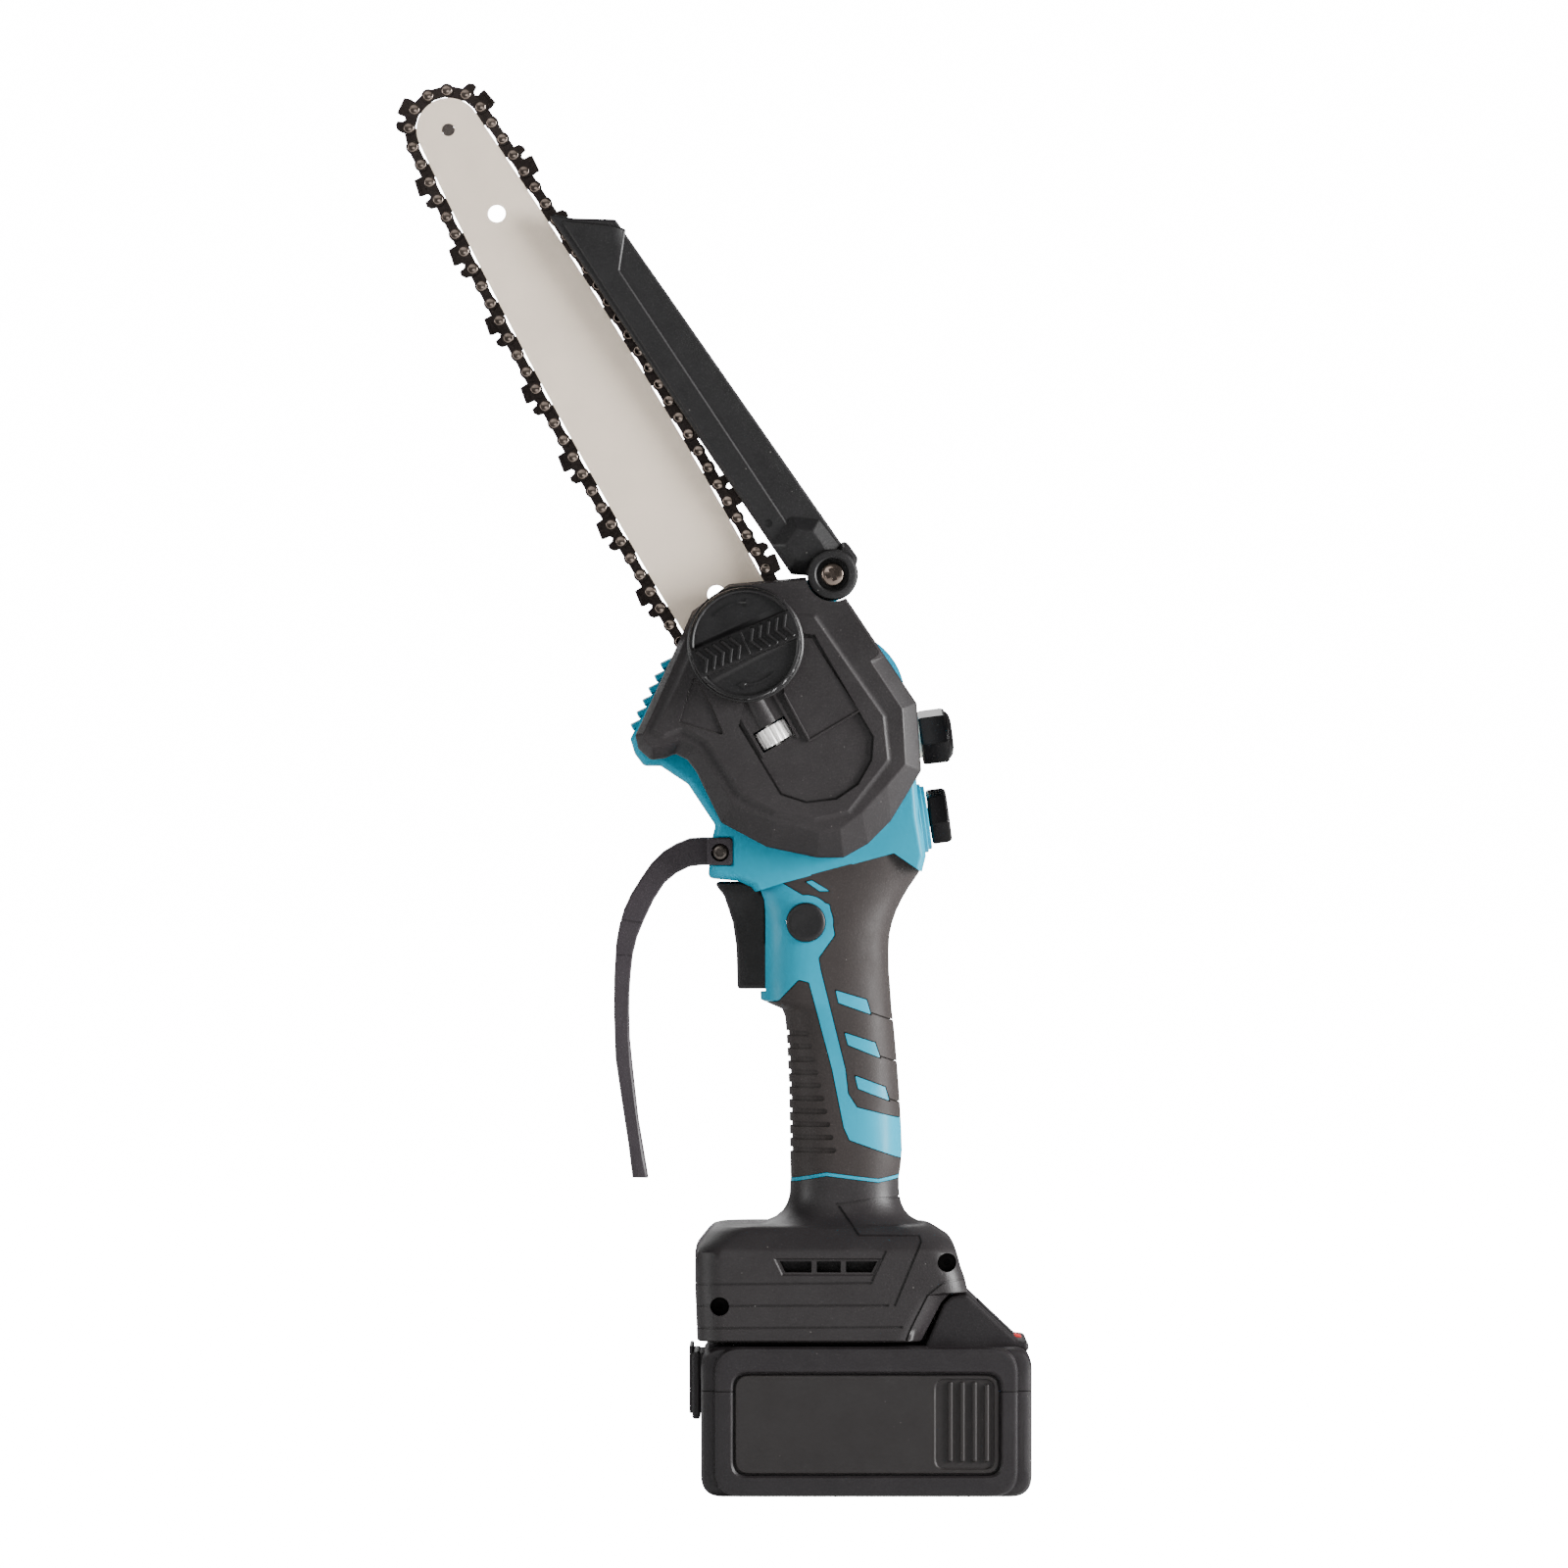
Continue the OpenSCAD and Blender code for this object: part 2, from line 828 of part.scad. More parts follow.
// The two long edges follow the rivet line at a constant inset
module bar_edge() {
    n = 48;
    a0 = heel_a + 1.5;
    span = nose_distance - a0;
    function half(a) = sqrt(pow(side_r - rail_inset, 2) - pow(a - side_a, 2)) - side_b;
    upper = [for (i = [0 : n]) [a0 + span * i / n, -half(a0 + span * i / n)]];
    lower = [for (i = [n : -1 : 0]) [a0 + span * i / n, half(a0 + span * i / n)]];
    polygon(concat([[heel_a, -12]], upper, lower, [[heel_a, 12]]));
    translate([nose_distance, 0]) circle(nose_pitch_r - rail_inset);
}

roller_r = nose_pitch_r - tang_depth - 0.5;

module bar_holes() {
    // Slot for the clamp stud, long enough for the chain to be slackened
    translate([stud_a, 0]) circle(slot_w / 2);
    translate([stud_a + 3.5, 0]) circle(slot_w / 2);
    translate([stud_a, -slot_w / 2]) square([3.5, slot_w]);
    bar_circle(58, 0, 3);
    bar_circle(202, 0, 2.9);
    bar_circle(pin_a, tension_b, 2.45);
    bar_circle(nose_distance, 0, 2.05);
}

module guide_bar() {
    color("#c9c2b8")
        difference() {
            plate(chain_y - bar_t / 2, chain_y + bar_t / 2)
                bar_plane()
                    difference() {
                        bar_edge();
                        bar_holes();
                    }
            // Groove for the tangs of the chain, with room for the nose roller
            plate(chain_y - gauge / 2 - 0.15, chain_y + gauge / 2 + 0.15)
                bar_plane()
                    difference() {
                        translate([0, -30]) square([300, 60]);
                        intersection() {
                            offset(delta = -groove_depth) bar_edge();
                            translate([heel_a + 4, -20]) square([nose_distance - 9 - heel_a - 4, 40]);
                        }
                    }
        }
}

module nose_roller() {
    color(steel)
        plate(chain_y - 0.6, chain_y + 0.6)
            bar_plane()
                difference() {
                    bar_circle(nose_distance, 0, roller_r);
                    bar_circle(nose_distance, 0, 2.05);
                }
}

module nose_rivet() {
    color(dark_steel)
        plate(chain_y - bar_t / 2 - 0.1, chain_y + bar_t / 2 + 0.1)
            bar_plane()
                bar_circle(nose_distance, 0, 2);
}

// ---------- chain ----------
// Places its children at link i, X along the link and Y towards the inside of the loop
module at_link(i) {
    p = rivet_point(i);
    q = rivet_point(i + 1);
    bar_plane()
        translate(p)
            rotate(atan2(q[1] - p[1], q[0] - p[0]))
                children();
}

module drive_link() {
    p = rivet_pitch;
    difference() {
        union() {
            circle(strap_r, $fn = 32);
            translate([p, 0]) circle(strap_r, $fn = 32);
            translate([0, -1.7]) square([p, 3.4]);
            polygon([[0.3, 1.2], [p - 0.3, 1.2], [p - 1.5, 4.2], [p / 2 + 0.6, tang_depth],
                [p / 2 - 1, tang_depth], [1.3, 4.2]]);
        }
        circle(rivet_r + 0.2, $fn = 32);
        translate([p, 0]) circle(rivet_r + 0.2, $fn = 32);
    }
}

module tie_strap() {
    p = rivet_pitch;
    difference() {
        union() {
            circle(strap_r, $fn = 32);
            translate([p, 0]) circle(strap_r, $fn = 32);
            translate([0, -1.6]) square([p, 1.6 + strap_waist]);
        }
        circle(rivet_r, $fn = 32);
        translate([p, 0]) circle(rivet_r, $fn = 32);
    }
}

// Depth gauge over the leading rivet, cutting tooth over the trailing rivet
module cutter_side() {
    p = rivet_pitch;
    tie_strap();
    difference() {
        polygon([[-2.2, 0], [-2.9, -2], [-2.7, -4.1], [2.7, -4.9], [3.1, -4.2], [3.2, -2.4], [4.1, -1.8],
            [4.9, -2.4], [5.3, -4.2], [6.7, -4.4], [8.1, -3.4], [8.5, -1.4], [p + 2, 0]]);
        circle(rivet_r, $fn = 32);
        translate([p, 0]) circle(rivet_r, $fn = 32);
    }
}

module cutter_top() {
    polygon([[-2.75, -3.3], [-2.7, -4.3], [2.7, -5.1], [3, -4.1]]);
}

// Every fourth pair of straps holds a cutter on the near side, and every fourth one on the far side
function cutter_kind(i) = (i % 8 == 1) ? "near" : (i % 8 == 5) ? "far" : "tie";

module strap_pair(i) {
    kind = cutter_kind(i);
    plate(chain_y - strap_out, chain_y - strap_in)
        at_link(i) if (kind == "near") cutter_side(); else tie_strap();
    plate(chain_y + strap_in, chain_y + strap_out)
        at_link(i) if (kind == "far") cutter_side(); else tie_strap();
    if (kind == "near")
        plate(chain_y - strap_out, chain_y + 1)
            at_link(i) cutter_top();
    if (kind == "far")
        plate(chain_y - 1, chain_y + strap_out)
            at_link(i) cutter_top();
}

module strap_rivets(i) {
    for (end = [0, rivet_pitch]) {
        plate(chain_y - strap_out - head_t, chain_y + strap_out + head_t)
            at_link(i) translate([end, 0]) circle(rivet_r, $fn = 24);
        for (side = [-1, 1])
            plate(chain_y + side * (strap_out + head_t / 2) - head_t / 2,
                  chain_y + side * (strap_out + head_t / 2) + head_t / 2)
                at_link(i) translate([end, 0]) circle(1.7, $fn = 24);
    }
}

module drive_links(first, last) {
    color(dark_steel)
        for (i = [first : last])
            if (i % 2 == 0)
                plate(chain_y - gauge / 2, chain_y + gauge / 2)
                    at_link(i) drive_link();
}

module straps(first, last) {
    color(dark_steel)
        for (i = [first : last])
            if (i % 2 == 1)
                strap_pair(i);
}

module chain_rivets(first, last) {
    color(steel)
        for (i = [first : last])
            if (i % 2 == 1)
                strap_rivets(i);
}

module upper_run_drive_links() drive_links(upper_first, nose_first - 1);
module upper_run_straps() straps(upper_first, nose_first - 1);
module upper_run_rivets() chain_rivets(upper_first, nose_first - 1);
module nose_wrap_drive_links() drive_links(nose_first, lower_first - 1);
module nose_wrap_straps() straps(nose_first, lower_first - 1);
module nose_wrap_rivets() chain_rivets(nose_first, lower_first - 1);
module lower_run_drive_links() drive_links(lower_first, wrap_first - 1);
module lower_run_straps() straps(lower_first, wrap_first - 1);
module lower_run_rivets() chain_rivets(lower_first, wrap_first - 1);
module sprocket_wrap_drive_links() drive_links(wrap_first, rivets - 1);
module sprocket_wrap_straps() straps(wrap_first, rivets - 1);
module sprocket_wrap_rivets() chain_rivets(wrap_first, rivets - 1);

// ---------- chip guard over the upper run ----------
guard_points = [
    [-103.5, 418], [-102.5, 419], [-96, 417.7], [-82, 417.3], [-4, 305.5], [-11, 301.5], [-24.7, 301.5]
];

module chip_guard() {
    color(black)
        difference() {
            union() {
                for (y = [chain_y - 7, chain_y + 5])
                    plate(y, y + 2)
                        difference() {
                            polygon(guard_points);
                            if (y > chain_y)
                                translate([pivot_x, pivot_z]) circle(9.2);
                        }
                // Wall along the outer edge
                plate(chain_y - 7, chain_y + 7)
                    intersection() {
                        difference() {
                            polygon(guard_points);
                            offset(delta = -2) polygon(guard_points);
                        }
                        polygon([[-84, 420], [-76, 425], [0, 320], [0, 312], [-9, 310]]);
                    }
                rod(pivot_x, pivot_z, 8.3, cover_y0 + 1, face_y - gap);
            }
            rod(pivot_x, pivot_z, 2.6, -50, 0);
            rod(pivot_x, pivot_z, 5.2, -50, cover_y0 + 4.5);
        }
}

module chip_guard_screw() {
    color("#5c5550")
        difference() {
            union() {
                rod(pivot_x, pivot_z, 2.55, cover_y0 + 4, face_y - gap);
                rod(pivot_x, pivot_z, 2.05, face_y - gap - 0.1, 3);
                rod(pivot_x, pivot_z, 3.9, cover_y0 + 1.6, cover_y0 + 4.2);
            }
            // Cross recess
            for (turn = [0, 90])
                plate(cover_y0 + 1, cover_y0 + 3)
                    translate([pivot_x, pivot_z])
                        rotate(turn) square([3.6, 0.9], center = true);
        }
}

module chip_guard_spring() {
    color(steel)
        for (i = [0 : 2])
            translate([pivot_x, face_y + 4 + i * 1.6, pivot_z])
                rotate([90, 0, 0])
                    rotate_extrude($fn = 32)
                        translate([4, 0]) circle(0.5, $fn = 16);
}

// ---------- hand guard ----------
module hand_guard_outline() {
    // Bow of two joined arcs, thinning to its free lower end
    outer = [[-52.3, 215], [-58, 214.8], [-66.5, 210.6], [-74, 201.7], [-79.6, 191.4], [-82.2, 180], [-82.9, 157.5],
        [-82.4, 142.5], [-80.5, 129.4], [-78.2, 114.4], [-76.6, 103]];
    inner = [[-71.5, 102.6], [-74.9, 122], [-76.8, 139], [-77.8, 157.5], [-76.8, 176.3], [-73.1, 187.6],
        [-66.5, 199.8], [-58, 205.4], [-52.3, 206]];
    polygon(concat(outer, inner));
}

module hand_guard() {
    color("#3a363a")
        difference() {
            union() {
                plate(-8, 8) hand_guard_outline();
                translate([-52.4, -14.6, 205.9]) cube([8.7, 29.2, 9.2]);
            }
            rod(guard_screw_x, guard_screw_z, 2.9, -20, -11.5);
            rod(guard_screw_x, guard_screw_z, 1.7, -12, 20);
        }
}

module hand_guard_screw() {
    color(dark_steel)
        difference() {
            union() {
                rod(guard_screw_x, guard_screw_z, 2.75, -14.3, -11.6);
                rod(guard_screw_x, guard_screw_z, 1.65, -11.7, 12);
            }
            rod(guard_screw_x, guard_screw_z, 1.4, -15, -12.8);
        }
}

// ---------- trigger and lock ----------
trigger_y = 9;

module trigger() {
    color(black)
        difference() {
            plate(-trigger_y, trigger_y)
                rounded(0.8)
                    polygon([[-50.3, 200.6], [-46.6, 195.7], [-43.8, 187.2], [-42.6, 179], [-42.1, 165],
                        [-28, 165], [-28, 178.5], [-34, 180.5], [-34, 195], [-38, 199], [-42, 200.8]]);
            // Pocket for the spring
            translate([-35, 0, spring_z])
                rotate([0, 90, 0]) cylinder(r = 3.6, h = 10);
        }
}

module trigger_spring() {
    color(steel)
        for (i = [0 : 6])
            translate([-33.5 + i * 2.1, 0, spring_z])
                rotate([0, 90, 0])
                    rotate_extrude($fn = 24)
                        translate([2.6, 0]) circle(0.4, $fn = 16);
}

module trigger_switch() {
    color("#26262a") {
        translate([-19.5, -8, 160]) cube([17, 16, 18]);
        translate([-20.4, -3, 164]) cube([1.5, 6, 3]);
    }
}

module lock_button() {
    color(black) {
        rod(button_x, button_z, button_r, -18.4, -8);
        rod(button_x, button_z, 3, -8.1, 11.1);
        rod(button_x, button_z, button_r, 11, 17.2);
    }
}

module lock_spring() {
    color(steel)
        for (i = [0 : 6])
            translate([button_x, -7.5 + i * 2.1, button_z])
                rotate([90, 0, 0])
                    rotate_extrude($fn = 24)
                        translate([4.2, 0]) circle(0.4, $fn = 16);
}

// ---------- oil ----------
tank_y0 = head_y1 + gap;
tank_y1 = 36;
neck_z = 247.5;
neck_y = 27;

module tank_outline() {
    difference() {
        rounded(1.5)
            polygon([[-30, 210], [11, 210], [15.5, 216], [15.5, 256], [4, 256], [-16, 240], [-30, 238]]);
        translate([motor_x, motor_z]) circle(bulge_r + gap);
    }
}

module along_neck() {
    translate([15, neck_y, neck_z])
        rotate([0, 90 - 7, 0])
            children();
}

module oil_tank() {
    color("#e6e3da")
        difference() {
            union() {
                plate(tank_y0, tank_y1) tank_outline();
                along_neck() translate([0, 0, -3]) cylinder(r = 6.6, h = 10);
            }
            plate(tank_y0 + 1.5, tank_y1 - 1.5) offset(delta = -1.5) tank_outline();
            along_neck() translate([0, 0, -4]) cylinder(r = 5, h = 20);
            // Keeps the neck's foot clear of the motor bulge
            rod(motor_x, motor_z, bulge_r + gap, tank_y0 - 1, tank_y1 + 10);
        }
}

module oil_cap() {
    color("#1d1c1d")
        along_neck()
            translate([0, 0, 3.4])
                difference() {
                    union() {
                        cylinder(r = cap_r, h = 9, $fn = 6);
                        translate([0, 0, 8.9]) cylinder(r = 7.2, h = 2);
                    }
                    translate([0, 0, -1]) cylinder(r = 6.65, h = 6);
                }
}

module oil_knob() {
    color("#1d1c1d")
        translate([oil_knob_x, 0, oil_knob_z])
            rotate([0, 90 - cap_tilt, 0]) {
                translate([0, 0, 0.9]) cylinder(r = cap_r, h = 6.6, $fn = 6);
                translate([0, 0, -8]) cylinder(r = 3.1, h = 9);
            }
}

// ---------- battery ----------
battery_x0 = -battery_l / 2;

module battery_front(inset) {
    offset(8 - inset)
        translate([battery_x0 + 8, 8])
            square([battery_l - 16, battery_h - 16]);
}

hump_points = [[19, 48], [24.8, 62.4], [27.4, 65.2], [33, 66], [49.5, 50.5], [53, 50.5], [53, 48]];

module battery_base() {
    color(black)
        difference() {
            intersection() {
                plate(-battery_w / 2, battery_w / 2) battery_front(0);
                translate([-100, -60, 0]) cube([200, 120, battery_split - 0.05]);
            }
            translate([battery_x0 + 2.5, -battery_w / 2 + 2.5, 2.5])
                cube([battery_l - 5, battery_w - 5, 60]);
        }
}

module battery_top() {
    color(black)
        difference() {
            union() {
                intersection() {
                    plate(-battery_w / 2, battery_w / 2) battery_front(0);
                    translate([-100, -60, battery_split]) cube([200, 120, 60]);
                }
                intersection() {
                    plate(-24, 24) polygon(hump_points);
                    hump_limit();
                }
                // Rail that slides into the foot
                translate([-42, -16.5, battery_h - 0.1]) cube([62, 33, 7]);
                translate([-42, -19.6, 53.4]) cube([62, 39.2, 2.5]);
                // Hook plate at the front end, joined to the upper case only
                translate([battery_x0 - 4, -16, 24]) cube([3.6, 32, 24.4]);
                translate([battery_x0 - 1, -16, 36]) cube([3, 32, 12]);
            }
            translate([battery_x0 + 2.5, -battery_w / 2 + 2.5, 20])
                cube([battery_l - 5, battery_w - 5, battery_h - 22.5]);
            // Slots for the terminals
            for (y = [-10, 0, 10])
                translate([-43, y - 1.2, 50.5]) cube([40, 2.4, 6]);
            // Pocket of the release button
            plate(-12.4, 12.4) polygon([[36.6, 50], [36.6, 70], [48.4, 70], [48.4, 43.5]]);
        }
}

module hump_limit() {
    translate([0, -30, 40]) cube([60, 60, 30]);
}

cell_r = 9.2;
cell_pitch = 19.5;
cell_z = 12.4;

module battery_cells() {
    color("#3c6ea8")
        for (row = [0, 1])
            for (i = [0 : 4])
                rod((i - 2) * cell_pitch, cell_z + row * (cell_pitch - 0.3), cell_r, -32.5, 32.5);
}

module battery_latch() {
    color("#b03030")
        plate(-12, 12) polygon([[37, 54], [37, 62.7], [48, 52.3], [48, 47.5]]);
}

// ---------- electrics ----------
module terminal_block() {
    color("#2a2a2c") {
        translate([-40, -15, rail_z + 3.2]) cube([36, 30, 5]);
    }
    color("#c9a24a")
        for (y = [-10, 0, 10])
            translate([-38, y - 0.5, 51.2]) cube([30, 1, rail_z + 3.4 - 51.2]);
}

module controller_board() {
    color("#2f6b4a")
        translate([-36, -22, 66]) cube([52, 44, 1.6]);
    color("#9aa0a6")
        translate([-30, -18, 67.5]) cube([20, 36, 5]);
}

wire_start = [-7, 73];
wire_end = [-9.5, 159.7];

// Three wires from the controller board up to the switch
module wiring() {
    run = wire_end - wire_start;
    color("#b02a2a")
        for (y = [-4, 0, 4])
            translate([wire_start[0], y, wire_start[1]])
                rotate([0, 90 - atan2(run[1], run[0]), 0])
                    cylinder(r = 1.2, h = norm(run));
}

housing_near();
housing_far();
grip_near();
grip_far();
foot_near();
foot_far();
housing_screws();
foot_screws();
gear_frame();
shaft_bearings();
drive_gear();
output_shaft();
drive_sprocket();
sprocket_clip();
motor_stator();
motor_rotor();
motor_pinion();
motor_fan();
clamp_stud();
clamp_knob();
knob_nut();
sprocket_cover();
tension_wheel();
tension_screw();
tension_pin();
guide_bar();
nose_roller();
nose_rivet();
upper_run_drive_links();
upper_run_straps();
upper_run_rivets();
nose_wrap_drive_links();
nose_wrap_straps();
nose_wrap_rivets();
lower_run_drive_links();
lower_run_straps();
lower_run_rivets();
sprocket_wrap_drive_links();
sprocket_wrap_straps();
sprocket_wrap_rivets();
chip_guard();
chip_guard_screw();
chip_guard_spring();
hand_guard();
hand_guard_screw();
trigger();
trigger_spring();
trigger_switch();
lock_button();
lock_spring();
oil_tank();
oil_cap();
oil_knob();
battery_base();
battery_top();
battery_cells();
battery_latch();
terminal_block();
controller_board();
wiring();
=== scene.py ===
"""Cordless mini chainsaw: the visible pieces and the finishes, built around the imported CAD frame.

Lengths are millimetres until a piece is finished. X points to the back of the grip, Y away from the
sprocket cover and Z up, as in the CAD source.
"""

import math

import bmesh
import bpy
from mathutils import Matrix, Vector


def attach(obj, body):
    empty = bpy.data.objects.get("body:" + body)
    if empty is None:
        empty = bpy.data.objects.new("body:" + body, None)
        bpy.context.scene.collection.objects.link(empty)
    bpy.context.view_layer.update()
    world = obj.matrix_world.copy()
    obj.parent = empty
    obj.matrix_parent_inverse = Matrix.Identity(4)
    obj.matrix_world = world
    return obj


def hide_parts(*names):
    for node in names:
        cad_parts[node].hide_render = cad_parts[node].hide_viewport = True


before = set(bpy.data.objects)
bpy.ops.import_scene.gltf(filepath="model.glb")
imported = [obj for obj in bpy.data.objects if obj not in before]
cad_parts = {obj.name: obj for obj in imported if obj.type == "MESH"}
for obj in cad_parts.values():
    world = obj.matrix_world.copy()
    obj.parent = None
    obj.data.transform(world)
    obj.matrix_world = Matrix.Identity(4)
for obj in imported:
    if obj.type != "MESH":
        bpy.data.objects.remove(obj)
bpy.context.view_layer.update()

MM = 0.001
NEAR = -1
FAR = 1

# Places shared by several pieces, across and up
SPROCKET = (-20, 244.5)
PIVOT = (-11, 301)
STUD = (-39.5, 278.27)
BUTTON = (-19.7, 187.2)
MOTOR = (-9, 261.2)
BOW_SCREW = (-47.9, 210.1)
SHELL_SCREWS = [(-66, 248), (-37.5, 218), (12, 211), (-52, 283)]
# Places across, in depth and up, with the upward tilt of the axis in degrees
OIL_CAP = (15, 27, 247.5)
OIL_CAP_TILT = 7
OIL_KNOB = (20, 0, 221.5)
OIL_KNOB_TILT = 8

# Upward angle of the guide bar from the +X direction, in degrees
BAR_ANGLE = 120
# Depth of the middle of the chain
CHAIN_Y = -20
# Lock-off button, its bore, and the cyan ring round it
BUTTON_R = 6.5
BUTTON_BORE_R = 6.52
BUTTON_RING_R = 8.9
# Outside of the motor bulge and the room inside it
BULGE_R = 22
MOTOR_ROOM_R = 19.6
SCREW_HOLE_R = 3.1
# Directions of axes that run in depth
TOWARDS = (0, -1, 0)
AWAY = (0, 1, 0)
# Chain nodes by group, and the body each group rides on
CHAIN_GROUPS = {
    "upper_run": "upper_run", "nose_wrap": "nose_wrap", "lower_run": "lower_run", "sprocket_wrap": "drive",
}


# ---------------------------------------------------------------- outlines
def corner_arc(before, here, after, radius, steps):
    """Points that round one corner of an outline."""
    back = before - here
    ahead = after - here
    half = back.angle(ahead, math.pi) / 2
    room = 0.45 * min(back.length, ahead.length)
    reach = max(min(radius / max(math.tan(half), 0.02), room), 0.02)
    start = here + back.normalized() * reach
    end = here + ahead.normalized() * reach
    shares = [k / steps for k in range(steps + 1)]
    return [start.lerp(here, t).lerp(here.lerp(end, t), t) for t in shares]


def rounded(points, radius=1.0, steps=4):
    """Closed outline with every corner rounded."""
    flat = [Vector(p) for p in points]
    out = []
    for i, here in enumerate(flat):
        out += corner_arc(flat[i - 1], here, flat[(i + 1) % len(flat)], radius, steps)
    return out


def signed_area(flat):
    return sum(a.x * b.y - b.x * a.y for a, b in zip(flat, flat[1:] + flat[:1])) / 2


def inset(points, distance):
    """Outline moved inwards by a distance, or outwards if it is negative, with sharp corners."""
    flat = [Vector(p) for p in points]
    side = 1 if signed_area(flat) > 0 else -1
    out = []
    for i, here in enumerate(flat):
        arrive = (here - flat[i - 1]).normalized()
        leave = (flat[(i + 1) % len(flat)] - here).normalized()
        first = Vector((-arrive.y, arrive.x)) * side
        second = Vector((-leave.y, leave.x)) * side
        out.append(here + (first + second) / max(1 + first.dot(second), 0.3) * distance)
    return out


def ribbon(points, width):
    """Outline of a line of constant width."""
    flat = [Vector(p) for p in points]
    left, right = [], []
    for i, here in enumerate(flat):
        arrive = (here - flat[i - 1]).normalized() if i else (flat[1] - here).normalized()
        leave = (flat[i + 1] - here).normalized() if i + 1 < len(flat) else arrive
        first = Vector((-arrive.y, arrive.x))
        second = Vector((-leave.y, leave.x))
        step = (first + second) / max(1 + first.dot(second), 0.5) * (width / 2)
        left.append(here + step)
        right.append(here - step)
    return left + right[::-1]


def stadium(x0, x1, z, height):
    """Slot with a rounded right end."""
    r = height / 2
    turns = [math.radians(a) for a in range(0, 181, 30)]
    end = [(x1 - r + r * math.sin(t), z + r * math.cos(t)) for t in turns]
    return [(x0, z + r)] + end + [(x0, z - r)]


def disc(centre, radius, sides=48):
    turns = [2 * math.pi * k / sides for k in range(sides)]
    return [(centre[0] + radius * math.cos(t), centre[1] + radius * math.sin(t)) for t in turns]


def box_outline(x0, x1, z0, z1):
    return [(x0, z0), (x1, z0), (x1, z1), (x0, z1)]


def turned_outline(points, centre, degrees):
    """Outline given about its own centre, turned and put in place."""
    turn = Matrix.Rotation(math.radians(degrees), 2)
    return [tuple(Vector(centre) + turn @ Vector(p)) for p in points]


def at(place, y=0):
    """Point in space of a place given across and up."""
    return (place[0], y, place[1])


def tilted(degrees):
    """Direction to the back, tilted upwards."""
    return (math.cos(math.radians(degrees)), 0, math.sin(math.radians(degrees)))


# ---------------------------------------------------------------- solids
# loft, prism, slab, revolve and bar return a step: a function that adds one closed solid to a mesh.
def loft(rings, loop=False):
    """Closed rings of points joined one after the other, with both ends closed unless it is a loop."""

    def add(mesh):
        rows = [[mesh.verts.new(p) for p in ring] for ring in rings]
        pairs = list(zip(rows, rows[1:]))
        if loop:
            pairs.append((rows[-1], rows[0]))
        for low, high in pairs:
            for i in range(len(low)):
                j = (i + 1) % len(low)
                mesh.faces.new((low[i], low[j], high[j], high[i]))
        if not loop:
            mesh.faces.new(rows[0][::-1])
            mesh.faces.new(rows[-1])

    return add


def slab(outline, levels, radius=1.0, steps=4):
    """Solid along Y. A level is its depth and how far the outline is inset there."""
    return loft([[(p.x, y, p.y) for p in rounded(inset(outline, d), radius, steps)] for y, d in levels])


def prism(outline, y0, y1):
    """Solid along Y with a sharp outline."""
    return loft([[(p[0], y, p[1]) for p in outline] for y in (y0, y1)])


def bar(start, end, width, y0, y1):
    return prism(ribbon([start, end], width), y0, y1)


def revolve(origin, axis, profile, sides=48, loop=False, turn=0.0):
    """Solid of revolution. A profile point is a distance along the axis and a radius."""
    along = Vector(axis).normalized()
    across = along.orthogonal().normalized()
    up = along.cross(across)
    angles = [turn + 2 * math.pi * k / sides for k in range(sides)]
    rings = []
    for h, r in profile:
        middle = Vector(origin) + along * h
        rings.append([middle + (across * math.cos(a) + up * math.sin(a)) * r for a in angles])
    return loft(rings, loop)


def both_ends(y, edge):
    """Levels of a slab from -y to y with both rims rounded."""
    rim = [(edge, 0), (0.3 * edge, 0.3 * edge), (0, edge)]
    return [(-y + a, d) for a, d in rim[::-1]] + [(y - a, d) for a, d in rim]


def build(*steps):
    mesh = bmesh.new()
    for step in steps:
        step(mesh)
    bmesh.ops.recalc_face_normals(mesh, faces=mesh.faces)
    return mesh


def to_object(name, *steps):
    """New object made of the solids of some steps."""
    data = bpy.data.meshes.new(name)
    mesh = build(*steps)
    mesh.to_mesh(data)
    mesh.free()
    solid = bpy.data.objects.new(name, data)
    bpy.context.scene.collection.objects.link(solid)
    return solid


def carve(solid, *steps, operation="DIFFERENCE"):
    """Boolean of an object with the solids of some steps."""
    tool = to_object("tool", *steps)
    modifier = solid.modifiers.new("carve", "BOOLEAN")
    modifier.operation = operation
    modifier.solver = "EXACT"
    modifier.use_self = True
    modifier.object = tool
    graph = bpy.context.evaluated_depsgraph_get()
    solid.data = bpy.data.meshes.new_from_object(solid.evaluated_get(graph))
    solid.modifiers.clear()
    bpy.data.objects.remove(tool)


def absorb(solid, *steps):
    """Adds the solids of some steps to an object without a boolean."""
    mesh = build(*steps)
    mesh.from_mesh(solid.data)
    mesh.to_mesh(solid.data)
    mesh.free()


def merge(solid, other):
    """Adds another object's mesh and removes that object."""
    absorb(solid, lambda mesh: mesh.from_mesh(other.data))
    bpy.data.objects.remove(other)


def round_edges(solid, width, segments=2, angle=35):
    """Fine rounding of the hard edges, in metres by now."""
    bevel = solid.modifiers.new("edges", "BEVEL")
    bevel.width = width * MM
    bevel.segments = segments
    bevel.limit_method = "ANGLE"
    bevel.angle_limit = math.radians(angle)
    bevel.use_clamp_overlap = True
    normals = solid.modifiers.new("normals", "WEIGHTED_NORMAL")
    normals.keep_sharp = True
    normals.weight = 80


